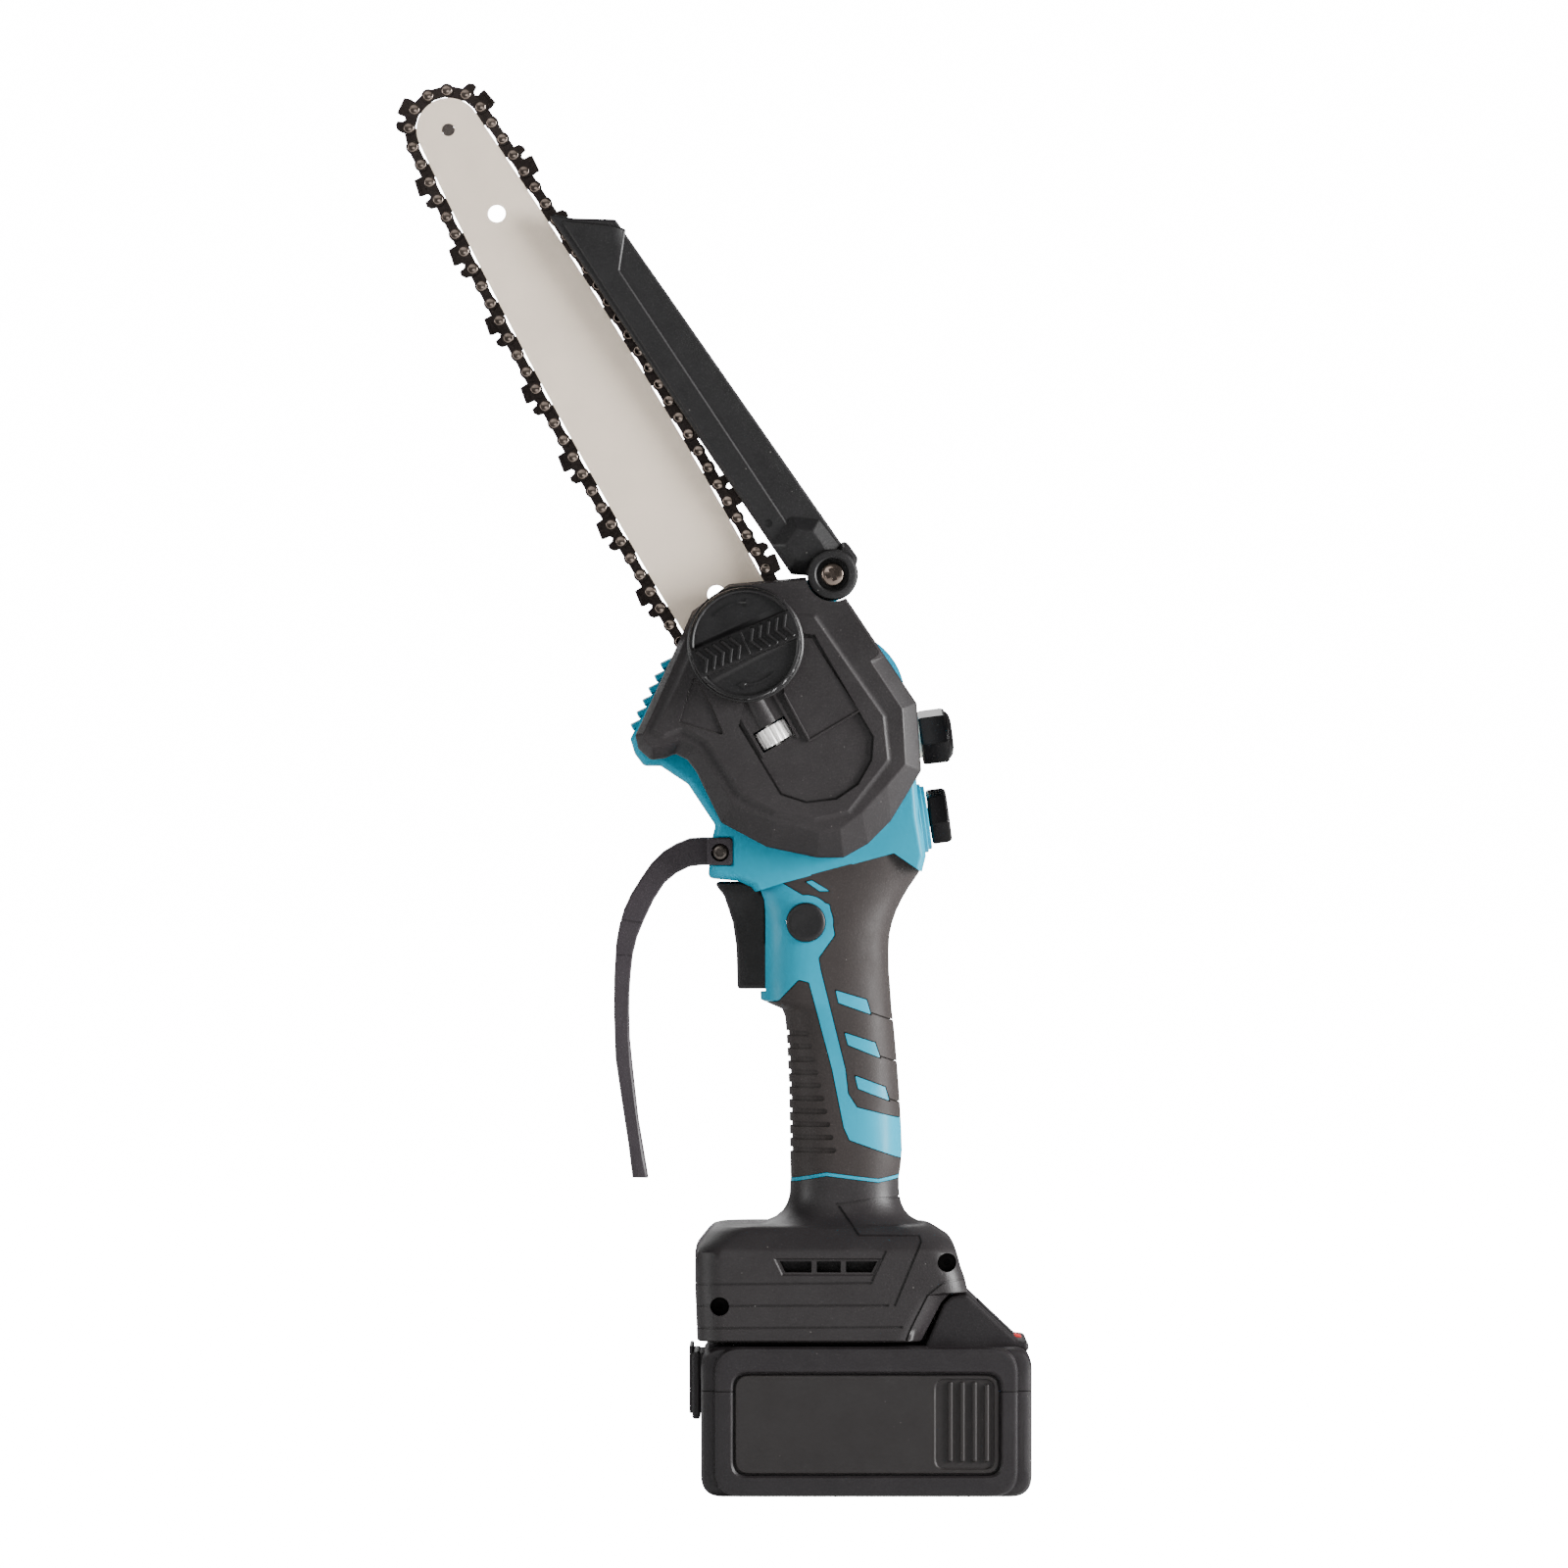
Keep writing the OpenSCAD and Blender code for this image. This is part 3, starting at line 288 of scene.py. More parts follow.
def finish(solid, body, material, replaces=(), edge=0.3, sharp=38):
    """Turns a solid into a piece of the object."""
    solid.data.transform(Matrix.Scale(MM, 4))
    solid.data.materials.clear()
    solid.data.materials.append(material)
    solid.data.shade_smooth()
    solid.data.set_sharp_from_angle(angle=math.radians(sharp))
    if edge:
        round_edges(solid, edge)
    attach(solid, body)
    if replaces:
        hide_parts(*replaces)


# ---------------------------------------------------------------- finishes
def linear(red, green, blue):
    """Linear colour of an 8-bit display colour."""

    def channel(value):
        return value / 255 / 12.92 if value < 10 else ((value / 255 + 0.055) / 1.055) ** 2.4

    return (channel(red), channel(green), channel(blue), 1)


def shade(colour, factor):
    return tuple(min(1, c * factor) for c in colour[:3]) + (1,)


class Nodes:
    """Short way to write a material's node tree."""

    def __init__(self, name):
        self.material = bpy.data.materials.new(name)
        self.material.use_nodes = True
        self.tree = self.material.node_tree
        self.shader = self.tree.nodes["Principled BSDF"]
        place = self.tree.nodes.new("ShaderNodeTexCoord")
        self.place = place.outputs["Object"]

    def link(self, source, target):
        self.tree.links.new(source, target)

    def noise(self, size_mm, detail=3.0, stretch=None):
        """Noise whose grains are about that many millimetres wide."""
        source = self.place
        if stretch:
            mapping = self.tree.nodes.new("ShaderNodeMapping")
            mapping.inputs["Rotation"].default_value = stretch[0]
            mapping.inputs["Scale"].default_value = stretch[1]
            self.link(self.place, mapping.inputs["Vector"])
            source = mapping.outputs["Vector"]
        node = self.tree.nodes.new("ShaderNodeTexNoise")
        node.inputs["Scale"].default_value = 1 / (size_mm * MM)
        node.inputs["Detail"].default_value = detail
        self.link(source, node.inputs["Vector"])
        return node.outputs["Fac"]

    def spots(self, size_mm, share):
        """Sparse round specks, 1 inside a speck."""
        node = self.tree.nodes.new("ShaderNodeTexVoronoi")
        node.inputs["Scale"].default_value = 1 / (size_mm * MM)
        self.link(self.place, node.inputs["Vector"])
        return self.ramp(node.outputs["Distance"], share, share * 0.4, 0.0, 1.0)

    def ramp(self, source, low, high, out_low, out_high):
        node = self.tree.nodes.new("ShaderNodeMapRange")
        node.inputs["From Min"].default_value = low
        node.inputs["From Max"].default_value = high
        node.inputs["To Min"].default_value = out_low
        node.inputs["To Max"].default_value = out_high
        self.link(source, node.inputs["Value"])
        return node.outputs["Result"]

    def mix(self, factor, first, second):
        """Colour between two colours, each a socket or a value."""
        node = self.tree.nodes.new("ShaderNodeMix")
        node.data_type = "RGBA"
        self.link(factor, node.inputs["Factor"])
        for value, socket in ((first, node.inputs["A"]), (second, node.inputs["B"])):
            if isinstance(value, bpy.types.NodeSocket):
                self.link(value, socket)
            else:
                socket.default_value = value
        return node.outputs["Result"]

    def bump(self, height, depth_mm, before=None):
        node = self.tree.nodes.new("ShaderNodeBump")
        node.inputs["Distance"].default_value = depth_mm * MM
        self.link(height, node.inputs["Height"])
        if before:
            self.link(before, node.inputs["Normal"])
        return node.outputs["Normal"]


def moulded(name, colour, roughness=0.5, grain_mm=0.45, depth_mm=0.05, spread=0.14, dust=0.25, sheen=0.3):
    """Moulded plastic or rubber: fine grain, slightly uneven colour and gloss, a little dust."""
    n = Nodes(name)
    cloud = n.ramp(n.noise(24, 4), 0.3, 0.7, 0, 1)
    body = n.mix(cloud, shade(colour, 1 - spread), shade(colour, 1 + spread))
    specks = n.spots(5, 0.045)
    faded = n.ramp(specks, 0, 1, 0, dust)
    n.link(n.mix(faded, body, (0.5, 0.48, 0.45, 1)), n.shader.inputs["Base Color"])
    n.link(n.ramp(n.noise(9, 3), 0.3, 0.7, roughness - 0.06, roughness + 0.06), n.shader.inputs["Roughness"])
    n.link(n.bump(n.noise(grain_mm, 2), depth_mm), n.shader.inputs["Normal"])
    n.shader.inputs["Specular IOR Level"].default_value = sheen
    return n.material


def metal(name, colour, roughness=0.3, stretch=None, grain_mm=1.2, depth_mm=0.01, spread=0.12, metallic=1.0):
    """Worked metal with streaks along one direction and slight stains."""
    n = Nodes(name)
    stain = n.ramp(n.noise(14, 4), 0.3, 0.7, 0, 1)
    n.link(n.mix(stain, shade(colour, 1 - spread), shade(colour, 1 + spread)), n.shader.inputs["Base Color"])
    streaks = n.noise(grain_mm, 3, stretch)
    n.link(n.ramp(streaks, 0.3, 0.7, roughness - 0.08, roughness + 0.08), n.shader.inputs["Roughness"])
    n.link(n.bump(streaks, depth_mm), n.shader.inputs["Normal"])
    n.shader.inputs["Metallic"].default_value = metallic
    return n.material


def along_bar():
    """Mapping that stretches a texture along the guide bar."""
    return ((0, math.radians(180 - BAR_ANGLE), 0), (0.03, 1, 1))


CYAN = moulded("cyan_moulding", linear(0, 128, 154), 0.4, 0.6, 0.02, 0.05, 0.05, 0.15)
BLACK = moulded("black_moulding", linear(29, 26, 27), 0.5, 0.5, 0.06, 0.12, 0.2)
BLACK_FINE = moulded("black_fine", linear(15, 14, 15), 0.42, 0.4, 0.03, 0.1, 0.1)
GUARD = moulded("guard_moulding", linear(16, 15, 16), 0.5, 0.5, 0.06, 0.12, 0.3)
BOW = moulded("bow_moulding", linear(41, 36, 40), 0.5, 0.5, 0.04, 0.1, 0.1)
RUBBER = moulded("rubber", linear(38, 33, 32), 0.62, 0.5, 0.05, 0.07, 0.2, 0.25)
FOOT = moulded("foot_moulding", linear(29, 26, 27), 0.5, 0.5, 0.06, 0.08, 0.25)
BATTERY = moulded("battery_moulding", linear(23, 20, 22), 0.46, 0.5, 0.04, 0.08, 0.12)
LABEL = moulded("label_panel", linear(26, 23, 23), 0.5, 0.8, 0.01, 0.05, 0.1)
CAP = moulded("cap_moulding", linear(10, 9, 10), 0.22, 1.5, 0.01, 0.1, 0.05, 0.14)
TANK = moulded("tank_moulding", linear(225, 222, 212), 0.45, 0.8, 0.02, 0.05, 0.1)
RED = moulded("red_moulding", linear(190, 40, 40), 0.4, 0.6, 0.02, 0.05, 0.0)
BAR = metal("bar_steel", linear(216, 201, 183), 0.5, along_bar(), 1.0, 0.006, 0.03, 0.1)
BRIGHT = metal("bright_steel", linear(215, 215, 212), 0.28)
ZINC = metal("zinc_plating", linear(236, 234, 232), 0.42, None, 6, 0.004, 0.04, 0.35)
DARK = metal("dark_steel", linear(92, 86, 82), 0.32)
CHAIN = metal("chain_steel", linear(58, 52, 50), 0.3, None, 0.8, 0.01, 0.25)
RIVET = metal("rivet_steel", linear(124, 112, 104), 0.2, None, 2, 0.01, 0.2)
# Screw steel painted near-black as shade, for the foot screws that sit deep in their holes
SHADED_SCREW = metal("screw_steel_painted_shade", linear(18, 17, 17), 0.5, None, 3, 0.004, 0.1)
SCREW = metal("screw_steel", linear(120, 108, 100), 0.2, None, 3, 0.004, 0.1)
CAST = metal("cast_alloy", linear(170, 172, 176), 0.45, None, 0.7, 0.03)
BRASS = metal("brass", linear(196, 162, 88), 0.3)
MOTOR_STEEL = metal("motor_steel", linear(128, 130, 134), 0.38)
CELL = moulded("cell_wrap", linear(60, 110, 170), 0.3, 1.0, 0.01, 0.05, 0.0)
BOARD = moulded("circuit_board", linear(42, 100, 70), 0.4, 0.6, 0.02, 0.2, 0.0)
WIRE = moulded("wire_jacket", linear(170, 40, 40), 0.4, 1.0, 0.01, 0.05, 0.0)


# ---------------------------------------------------------------- sprocket cover
# The sloped outer band runs between these two outlines, corner for corner
COVER_RIM = [
    (-57, 289), (-63, 275.5), (-75.5, 248.5), (-74.5, 244), (-70.5, 240.5), (-66, 241), (-62.5, 242.5),
    (-58.5, 240.5), (-55.5, 236.5), (-47.5, 220), (-32.5, 212), (-16, 208.5), (-7.5, 208.5), (0.5, 213),
    (8, 220.5), (18, 237), (16.5, 259), (6.2, 274.4), (5.5, 275.4), (-7, 294), (-11, 301), (-45, 298),
]
COVER_FACE = [
    (-55.4, 288), (-61, 275), (-72.8, 248.8), (-72, 246.4), (-69.6, 244.5), (-66.4, 245.2), (-60.6, 247.4),
    (-55.8, 245.2), (-52.2, 240.6), (-43.4, 226.3), (-29, 220.6), (-15.4, 217.6), (-8.6, 218.4),
    (-1.6, 223.8), (4.4, 230.4), (12.4, 239.2), (11.4, 256.8), (0.8, 272.8), (4.7, 275), (-7.8, 293.5),
    (-11.6, 300), (-44.8, 296.9),
]
PLATFORM = [
    (-45, 296), (-26, 290), (-16.2, 288.6), (7, 255.2), (8.6, 240), (-5.2, 222.3), (-17, 219.8), (-30, 222),
    (-41.8, 228.4), (-53, 245.4), (-60.2, 249.4), (-66, 247), (-71.2, 248.8), (-63.2, 265.4), (-58.6, 276),
]
PANEL = [
    (-41.6, 252), (-27.9, 229.3), (-19.7, 226.6), (-9.8, 227.8), (-2.8, 232.6), (1.6, 240.4), (2.1, 248),
    (-17.3, 281.3), (-34, 284),
]
STEP_PAD = [(-27.1, 262.4), (-18.7, 246.8), (-2.2, 256.6), (-17.9, 280.4), (-30, 281)]
# Sunken corner behind the lower front edge
CORNER_PANEL = [(-61, 252.9), (-46.6, 248.6), (-50.5, 258), (-56.2, 267.6)]


def bar_point(a, b):
    """Point given along and across the bar, from the sprocket's centre."""
    turn = math.radians(BAR_ANGLE)
    across = SPROCKET[0] + a * math.cos(turn) - b * math.sin(turn)
    return (across, SPROCKET[1] + a * math.sin(turn) + b * math.cos(turn))


def bar_box(a0, a1, b0, b1):
    """Rectangle that lies along the bar."""
    return [bar_point(a0, b0), bar_point(a1, b0), bar_point(a1, b1), bar_point(a0, b1)]


def cover_shell(face_y):
    rim = rounded(COVER_RIM, 1.6)
    face = rounded(COVER_FACE, 1.6)
    soft = [f.lerp(r, 0.12) for f, r in zip(face, rim)]
    edge = [r.lerp(f, 0.1) for f, r in zip(face, rim)]
    rows = [(rim, -14.3), (rim, -26.3), (edge, -27.4), (soft, face_y + 0.4), (face, face_y)]
    return loft([[(p.x, y, p.y) for p in outline] for outline, y in rows])


def make_cover():
    face_y = -32.7
    top_y = -34
    front = -36
    solid = to_object("sprocket_cover_skin", cover_shell(face_y))
    carve(
        solid,
        slab(inset(COVER_RIM, 2.4), [(-13, 0), (-25.5, 0)]),
        slab(inset(COVER_FACE, 1.2), [(-25.0, 0), (-29.8, 0.5)]),
    )
    # Way out for the bar and the chain
    carve(solid, prism(bar_box(22, 142, -24.5, 24.5), -26.5, -13))
    absorb(solid, slab(PLATFORM, [(-31, 0), (face_y, 0), (top_y + 0.25, 1.5), (top_y, 2.0)], 1.2))
    carve(
        solid,
        slab(PANEL, [(front, 0), (-32.9, 0)], 2.2),
        slab(CORNER_PANEL, [(front, -0.6), (-33.3, 0)], 0.8),
    )
    carve(solid, prism(ribbon(PANEL[:8], 0.7), front, -32.2))
    absorb(solid, slab(STEP_PAD, [(-32, 0), (-33.2, 0), (-33.5, 0.3)], 0.6))
    ridge = ribbon(STEP_PAD[:3], 0.8)
    absorb(solid, slab(ridge, [(-32, 0), (-33.7, 0), (-33.95, 0.2)], 0.15, 2))
    # Round tunnel over the tension screw, between two low ribs
    start = bar_point(12, 6.7)
    end = bar_point(26, 6.7)
    along = Vector((end[0] - start[0], 0, end[1] - start[1]))
    absorb(
        solid,
        revolve(at(start, -30.0), along, [(0, 3.6), (0.5, 4.0), (14, 4.0)], 40),
        bar(bar_point(3.8, 0.2), bar_point(24, 0.2), 0.9, -33.4, -32),
        bar(bar_point(3.8, 13.2), bar_point(24, 13.2), 0.9, -33.4, -32),
    )
    carve(
        solid,
        prism(bar_box(5.2, 12.4, 0.8, 12.6), front, -20),
        prism(disc(STUD, 4.4), front, -12),
        prism(disc(PIVOT, 8.8), front, -12),
    )
    finish(solid, "housing", BLACK, ["sprocket_cover"], 0.25)


# ---------------------------------------------------------------- clamp knob
KNOB_TILT = 23
KNOB_RIM = [
    (34.4, 18.4), (34.9, 19), (36.8, 19), (37.2, 18.5), (42.4, 18.1), (43.0, 17.6), (43.1, 17.2),
    (42.9, 16.8), (42.7, 16.6),
]


def on_knob(outline):
    """Outline given about the knob's centre, with its grip bar level, put in place."""
    return turned_outline(outline, STUD, KNOB_TILT)


def arc_arrow(middle):
    """Raised arrow along a part of a circle, clockwise round the knob."""
    radius = 13.4
    sweep = 24
    turns = [math.radians(middle + a) for a in [-sweep + sweep * k / 5 for k in range(11)]]
    line = [(radius * math.cos(t), radius * math.sin(t)) for t in turns]
    tip = Vector(line[0])
    out = tip.normalized()
    ahead = Vector((out.y, -out.x))
    head = [tip + out * 1.4, tip + ahead * 2.2, tip - out * 1.4]
    return [prism(on_knob(shape), -42.2, -41.5) for shape in (ribbon(line, 0.7), head)]


def chevrons():
    """Raised arrowheads on the grip bar, pointing to its middle."""
    marks = []
    for side in (-1, 1):
        for k in range(5):
            x = side * (3.0 + k * 2.9)
            line = [(x + side * 1.2, 3.9), (x - side * 1.0, 0), (x + side * 1.2, -3.9)]
            marks.append(slab(on_knob(ribbon(line, 1.1)), [(-43, 0), (-44.1, 0), (-44.5, 0.3)], 0.2, 2))
    middle = ribbon([(0, 4), (0, -4)], 0.9)
    marks.append(slab(on_knob(middle), [(-43, 0), (-44.4, 0.25)], 0.2, 2))
    return marks


def make_knob():
    half_length = 18.2
    half_width = 4.9
    solid = to_object("clamp_knob_skin", revolve(at(STUD), TOWARDS, KNOB_RIM, 96))
    carve(solid, prism(disc(STUD, 16.7, 96), -46, -41.7))
    grip = on_knob(box_outline(-half_length, half_length, -half_width, half_width))
    grip_bar = to_object("grip_bar", slab(grip, [(-38, 0), (-42.9, 0), (-43.3, 0.4)], 0.3))
    carve(grip_bar, prism(disc(STUD, 17.7, 96), -50, -30), operation="INTERSECT")
    merge(solid, grip_bar)
    absorb(solid, *chevrons(), *arc_arrow(90), *arc_arrow(-90))
    carve(solid, prism(disc(STUD, 6.49), -41.3, -30))
    finish(solid, "clamp_knob", BLACK_FINE, ["clamp_knob"], 0.2)


# ---------------------------------------------------------------- chip guard
GUARD_PLATE = [
    (-103.6, 418.1), (-102.5, 419), (-96, 417.6), (-82, 417.2), (-4.6, 306.2), (-6, 300), (-24.6, 301.4),
]
GUARD_RAISED = [
    (-78.6, 414), (-83.6, 415.4), (-100, 417), (-26, 303.6), (-19, 303.6), (-24.8, 316.2), (-80.6, 400.4),
]
GUARD_BACK = [(-82, 417.2), (-4.6, 306.2), (-6.4, 304.9), (-83.2, 415)]
GUARD_ARM = [(-7.2, 313), (-2.6, 306.5), (-5, 298), (-17, 299)]
GUARD_RAMP = [
    (-25.2, 302), (-31, 310.6), (-24.5, 320), (-15.5, 319), (-5.6, 306.4), (-4.2, 301), (-8, 294.2),
    (-14, 294), (-18.6, 298.4), (-19.6, 302),
]
# Ring round the pivot screw, with a step for the screw's head
GUARD_BOSS = [
    (14.35, 7.9), (14.8, 8.3), (31.6, 8.3), (32.6, 7.9), (33.0, 7.2), (33.0, 5.9), (32.6, 5.4), (29.6, 5.3),
    (29.6, 2.7), (14.35, 2.7),
]


def make_chip_guard():
    levels = [(-25, 0), (-26, 0), (-26.6, 0.3), (-27, 0.9)]
    solid = to_object("chip_guard_skin", slab(GUARD_PLATE, levels, 1.4))
    absorb(solid, slab(GUARD_RAISED, [(-26, 0), (-27.1, 0), (-27.5, 0.5)], 0.8))
    absorb(
        solid,
        slab(GUARD_BACK, [(-26.4, 0), (-13.4, 0), (-13, 0.3)], 0.3),
        slab(GUARD_PLATE, [(-15, 0), (-13.4, 0), (-13, 0.5)], 1.2),
        slab(GUARD_ARM, [(-26, 0), (-31, 1.4)], 2),
    )
    absorb(solid, slab(GUARD_RAMP, [(-26, 0), (-27.2, 0), (-29.8, 3.4), (-30.3, 4.6)], 1, 4))
    carve(solid, prism(disc(PIVOT, 7.6), -40, -10))
    absorb(solid, revolve(at(PIVOT), TOWARDS, GUARD_BOSS, 64, loop=True))
    carve(solid, prism(disc((-32, 317.8), 1.3, 24), -30, -27.0))
    finish(solid, "chip_guard", GUARD, ["chip_guard"], 0.3)


# ---------------------------------------------------------------- screws
def cross_outline(arm, half):
    """Cross with arms of one width."""
    quarter = [(arm, half), (half, half), (half, arm)]
    left = [(-x, z) for x, z in quarter[::-1]]
    return quarter + left + [(-x, -z) for x, z in quarter] + [(x, -z) for x, z in quarter[::-1]]


def make_screw(name, place, y_top, radius, depth, material, replaces, recess):
    """Pan head screw seen from the near side, with a cross or hexagon recess."""
    rise = 0.32 * radius
    shank = radius * 0.66
    under_head = y_top + rise + 0.9
    profile = [(-(y_top + rise + depth), shank), (-under_head, shank), (-under_head, radius)]
    for turn in [math.radians(a) for a in (80, 65, 50, 35, 20, 6)]:
        profile.append((-(y_top + rise * (1 - math.cos(turn))), radius * math.sin(turn)))
    solid = to_object(name, revolve(at(place), TOWARDS, profile, 40))
    if recess == "cross":
        tool = turned_outline(cross_outline(radius * 0.56, radius * 0.2), place, 20)
    else:
        tool = disc(place, radius * 0.58, 6)
    carve(solid, prism(tool, y_top - 2, y_top + rise + 1.0))
    finish(solid, "housing", material, replaces, 0.12)


# ---------------------------------------------------------------- housing and grip
HEAD_WALL = 2.6
BAND_HALF = 0.55
HEAD = [
    (-57.5, 287), (-63, 275.5), (-77.5, 247.5), (-76, 242.5), (-73, 238.5), (-67.5, 238.5), (-58.5, 232.5),
    (-49.5, 219), (-50.5, 215), (-52, 201.6), (-42, 200.7), (-37.4, 198.6), (-33.5, 193), (-33, 185),
    (10, 185), (13.7, 198.5), (18.4, 203.6), (19.8, 209), (17.6, 222), (16.4, 237), (15.5, 258), (-8.5, 292),
    (-17, 300), (-45, 296),
]
# Height, front edge, back edge and half thickness of the grip
GRIP = [
    (98, -24.9, 11.1, 16.4), (101, -24.8, 10.9, 16.6), (103, -24.7, 11, 16.8), (107, -24.8, 11.6, 17),
    (112, -24.9, 12, 17), (118, -25, 11.8, 17), (124, -25.1, 11.5, 17), (134, -25.3, 10.9, 17),
    (145, -25.8, 10, 16.9), (152, -26.2, 9.4, 16.8), (156, -26.6, 8.9, 16.8), (158.5, -27.6, 8.6, 16.8),
    (160.2, -31.6, 8.5, 16.8), (161.6, -34.6, 8.4, 16.8), (166, -34.8, 8.1, 16.8), (171, -34.8, 7.7, 16.8),
    (178, -34.8, 7.6, 16.8), (183, -34.8, 7.9, 16.6), (187, -35, 8.8, 16.2), (191, -35.4, 10.2, 15.6),
    (194.5, -36.2, 11.9, 14.9), (198.5, -38.4, 14.2, 14.3), (201, -39.4, 16, 14.1), (204, -39.6, 18, 14.05),
    (207, -39.8, 19.4, 14), (210.5, -40, 20.6, 14),
]
CYAN_STRIP = [
    (-40, 196), (-27.5, 200), (-21, 196.2), (-12, 193), (-10.3, 183), (-15.6, 175.5), (-15, 172), (-6.8, 139),
    (-5.9, 131), (-3, 126.5), (24, 119.4), (24, 105.8), (11.5, 109.7), (-5.4, 115.8), (-7.3, 120),
    (-11.1, 139), (-18.7, 167.5), (-22.1, 168.4), (-28.7, 161.5), (-40, 160),
]
DASHES = [
    [(-10, 164.9), (0.2, 161.8), (1.6, 157), (-9, 160.8)],
    [(-7, 151), (3, 147.7), (4.7, 142.7), (-5.9, 147)],
    [(-3.6, 136.9), (6.3, 133.1), (7.7, 128.6), (-2.6, 132.7)],
]
SMALL_DASH = [(-19.7, 200.5), (-17.7, 200.9), (-11.9, 197.4), (-15.2, 197.4)]
RUBBER_TOP = [(-45, 196), (-27.5, 200.3), (9.2, 210.2), (18.1, 204.1), (45, 204.1), (45, 240), (-45, 240)]
BAND = [(-30, 101.6), (-24.9, 102.4), (-13, 104.6), (4.1, 102.4), (11.5, 103.8), (18, 105)]
# Part of the head's outline that the rubber takes up
HEAD_CUT = [
    (-60, 196), (-40, 196), (-27.5, 200), (9.2, 209.9), (18.1, 203.8), (60, 203.8), (60, 150), (-60, 150),
]
TRIGGER_SLOT = [(-60, 201.5), (-35, 201.5), (-30, 199.8), (-22, 199.8), (-22, 164.2), (-60, 164.2)]


def half_section(z, front, back, thick, side, inward=0.0, points=26):
    """Half of the grip's rounded section, from the back round to the front."""
    middle = (front + back) / 2
    reach = (back - front) / 2 - inward
    power = 2 / 2.7
    ring = []
    for k in range(points + 1):
        turn = math.pi * k / points
        c, s = math.cos(turn), math.sin(turn)
        x = middle + reach * math.copysign(abs(c) ** power, c)
        ring.append((x, side * (0.06 + (thick - inward) * abs(s) ** power), z))
    return ring


def grip_half(side, low, high, inward=0.0):
    """Half of the grip between two heights."""
    rows = [row for row in GRIP if low <= row[0] <= high]
    heights = [rows[0][0] + inward * 0.5] + [r[0] for r in rows[1:-1]] + [rows[-1][0] - inward * 0.5]
    return loft([half_section(z, r[1], r[2], r[3], side, inward) for z, r in zip(heights, rows)])


def openings():
    """Slot of the trigger and bore of the lock-off button."""
    bores = [prism(disc(BUTTON, BUTTON_BORE_R, 96), side * 4.5, side * 30) for side in (NEAR, FAR)]
    return [prism(TRIGGER_SLOT, -9.4, 9.4), *bores, prism(disc(BUTTON, 3.3), -10, 10)]


def above_band(offset):
    return [(x, z + offset) for x, z in BAND] + [(40, 240), (-60, 240)]


def below_band(offset):
    return [(x, z + offset) for x, z in BAND] + [(40, 60), (-60, 60)]


def finger_grooves():
    """Grooves across the front of the grip."""
    return [prism(stadium(-40, -9.7 - k * 0.99, 112.4 + k * 4.25, 1.7), -30, 30) for k in range(10)]


def make_rubber(side, name, replaces):
    seam = 0.3
    solid = to_object(name, grip_half(side, 98, 210.5))
    cutters = [
        prism(rounded(inset(CYAN_STRIP, -seam), 0.8), -30, 30),
        prism(disc(BUTTON, BUTTON_RING_R + seam), -31, 31),
        prism(RUBBER_TOP, -32, 32),
        prism(below_band(BAND_HALF + 0.2), -29, 29),
        prism(rounded(inset(SMALL_DASH, -seam), 0.2, 2), -28, 28),
    ]
    for dash in DASHES:
        tail = [(dash[2][0] - 0.6, dash[2][1] + 0.8), (dash[2][0] + 14, dash[2][1] - 4.6)]
        cutters.append(prism(rounded(inset(dash, -seam), 0.3, 2), -30, 30))
        cutters.append(prism(ribbon(tail, 0.45), -30.5, 30.5))
    carve(solid, *cutters, *finger_grooves())
    core = to_object("core", grip_half(side, 98, 207, 0.8))
    carve(core, prism(below_band(0.4), -29, 29), prism(inset(CYAN_STRIP, 1.5), -30, 30))
    merge(solid, core)
    carve(solid, *openings())
    finish(solid, "housing", RUBBER, replaces, 0.22, 40)


def serration(side):
    """Ribs down the front edge of the head."""
    depth = -12.4 if side == NEAR else 16
    levels = [(side * 0.1, 0), (depth * 0.9, 0), (depth, 0.5)]
    rib = box_outline(-2.3, 2.3, -1.25, 1.25)
    places = [(-65.2 - i * 1.95, 272.2 - i * 4) for i in range(6)]
    return [slab(turned_outline(rib, place, 26), levels, 0.5, 2) for place in places]


def head(side):
    """Half of the head, with its ear for the chip guard."""
    near = [(-0.05, 0), (-10.6, 0), (-12.4, 0.45), (-13.6, 1.3), (-14, 2.4)]
    far = [(0.05, 0), (14.4, 0), (16.6, 0.6), (17.6, 1.6), (18, 2.8)]
    ear = [(0.05, 7.6), (12.6, 7.6), (14, 6.6)]
    solids = [slab(HEAD, near if side == NEAR else far, 2.2, 5), revolve(at(PIVOT), (0, side, 0), ear, 48)]
    if side == FAR:
        solids.append(revolve(at(MOTOR), AWAY, [(0.05, BULGE_R), (15.5, BULGE_R)], 72))
    return solids


def tongue():
    """Rim of the near shell that reaches into the far shell and closes the seam."""
    solid = to_object("tongue", prism(inset(HEAD, HEAD_WALL - 0.15), -1.4, 1.4))
    absorb(solid, prism(disc(PIVOT, 6.8), -1.3, 1.3))
    carve(
        solid,
        prism(inset(HEAD, HEAD_WALL + 1), -3, 3),
        prism(HEAD_CUT, -4, 4),
        prism(disc(PIVOT, 2.3), -5, 5),
    )
    return solid


def rear_boss():
    """Stepped boss that carries the oil flow knob."""
    tiers = ((-7, -1.9, 12.2), (-2.0, -0.6, 11.4), (-0.7, 0.6, 10.5))
    axis = tilted(OIL_KNOB_TILT)
    return [revolve(OIL_KNOB, axis, [(a, r), (b - 0.3, r), (b, r - 0.3)], 48) for a, b, r in tiers]


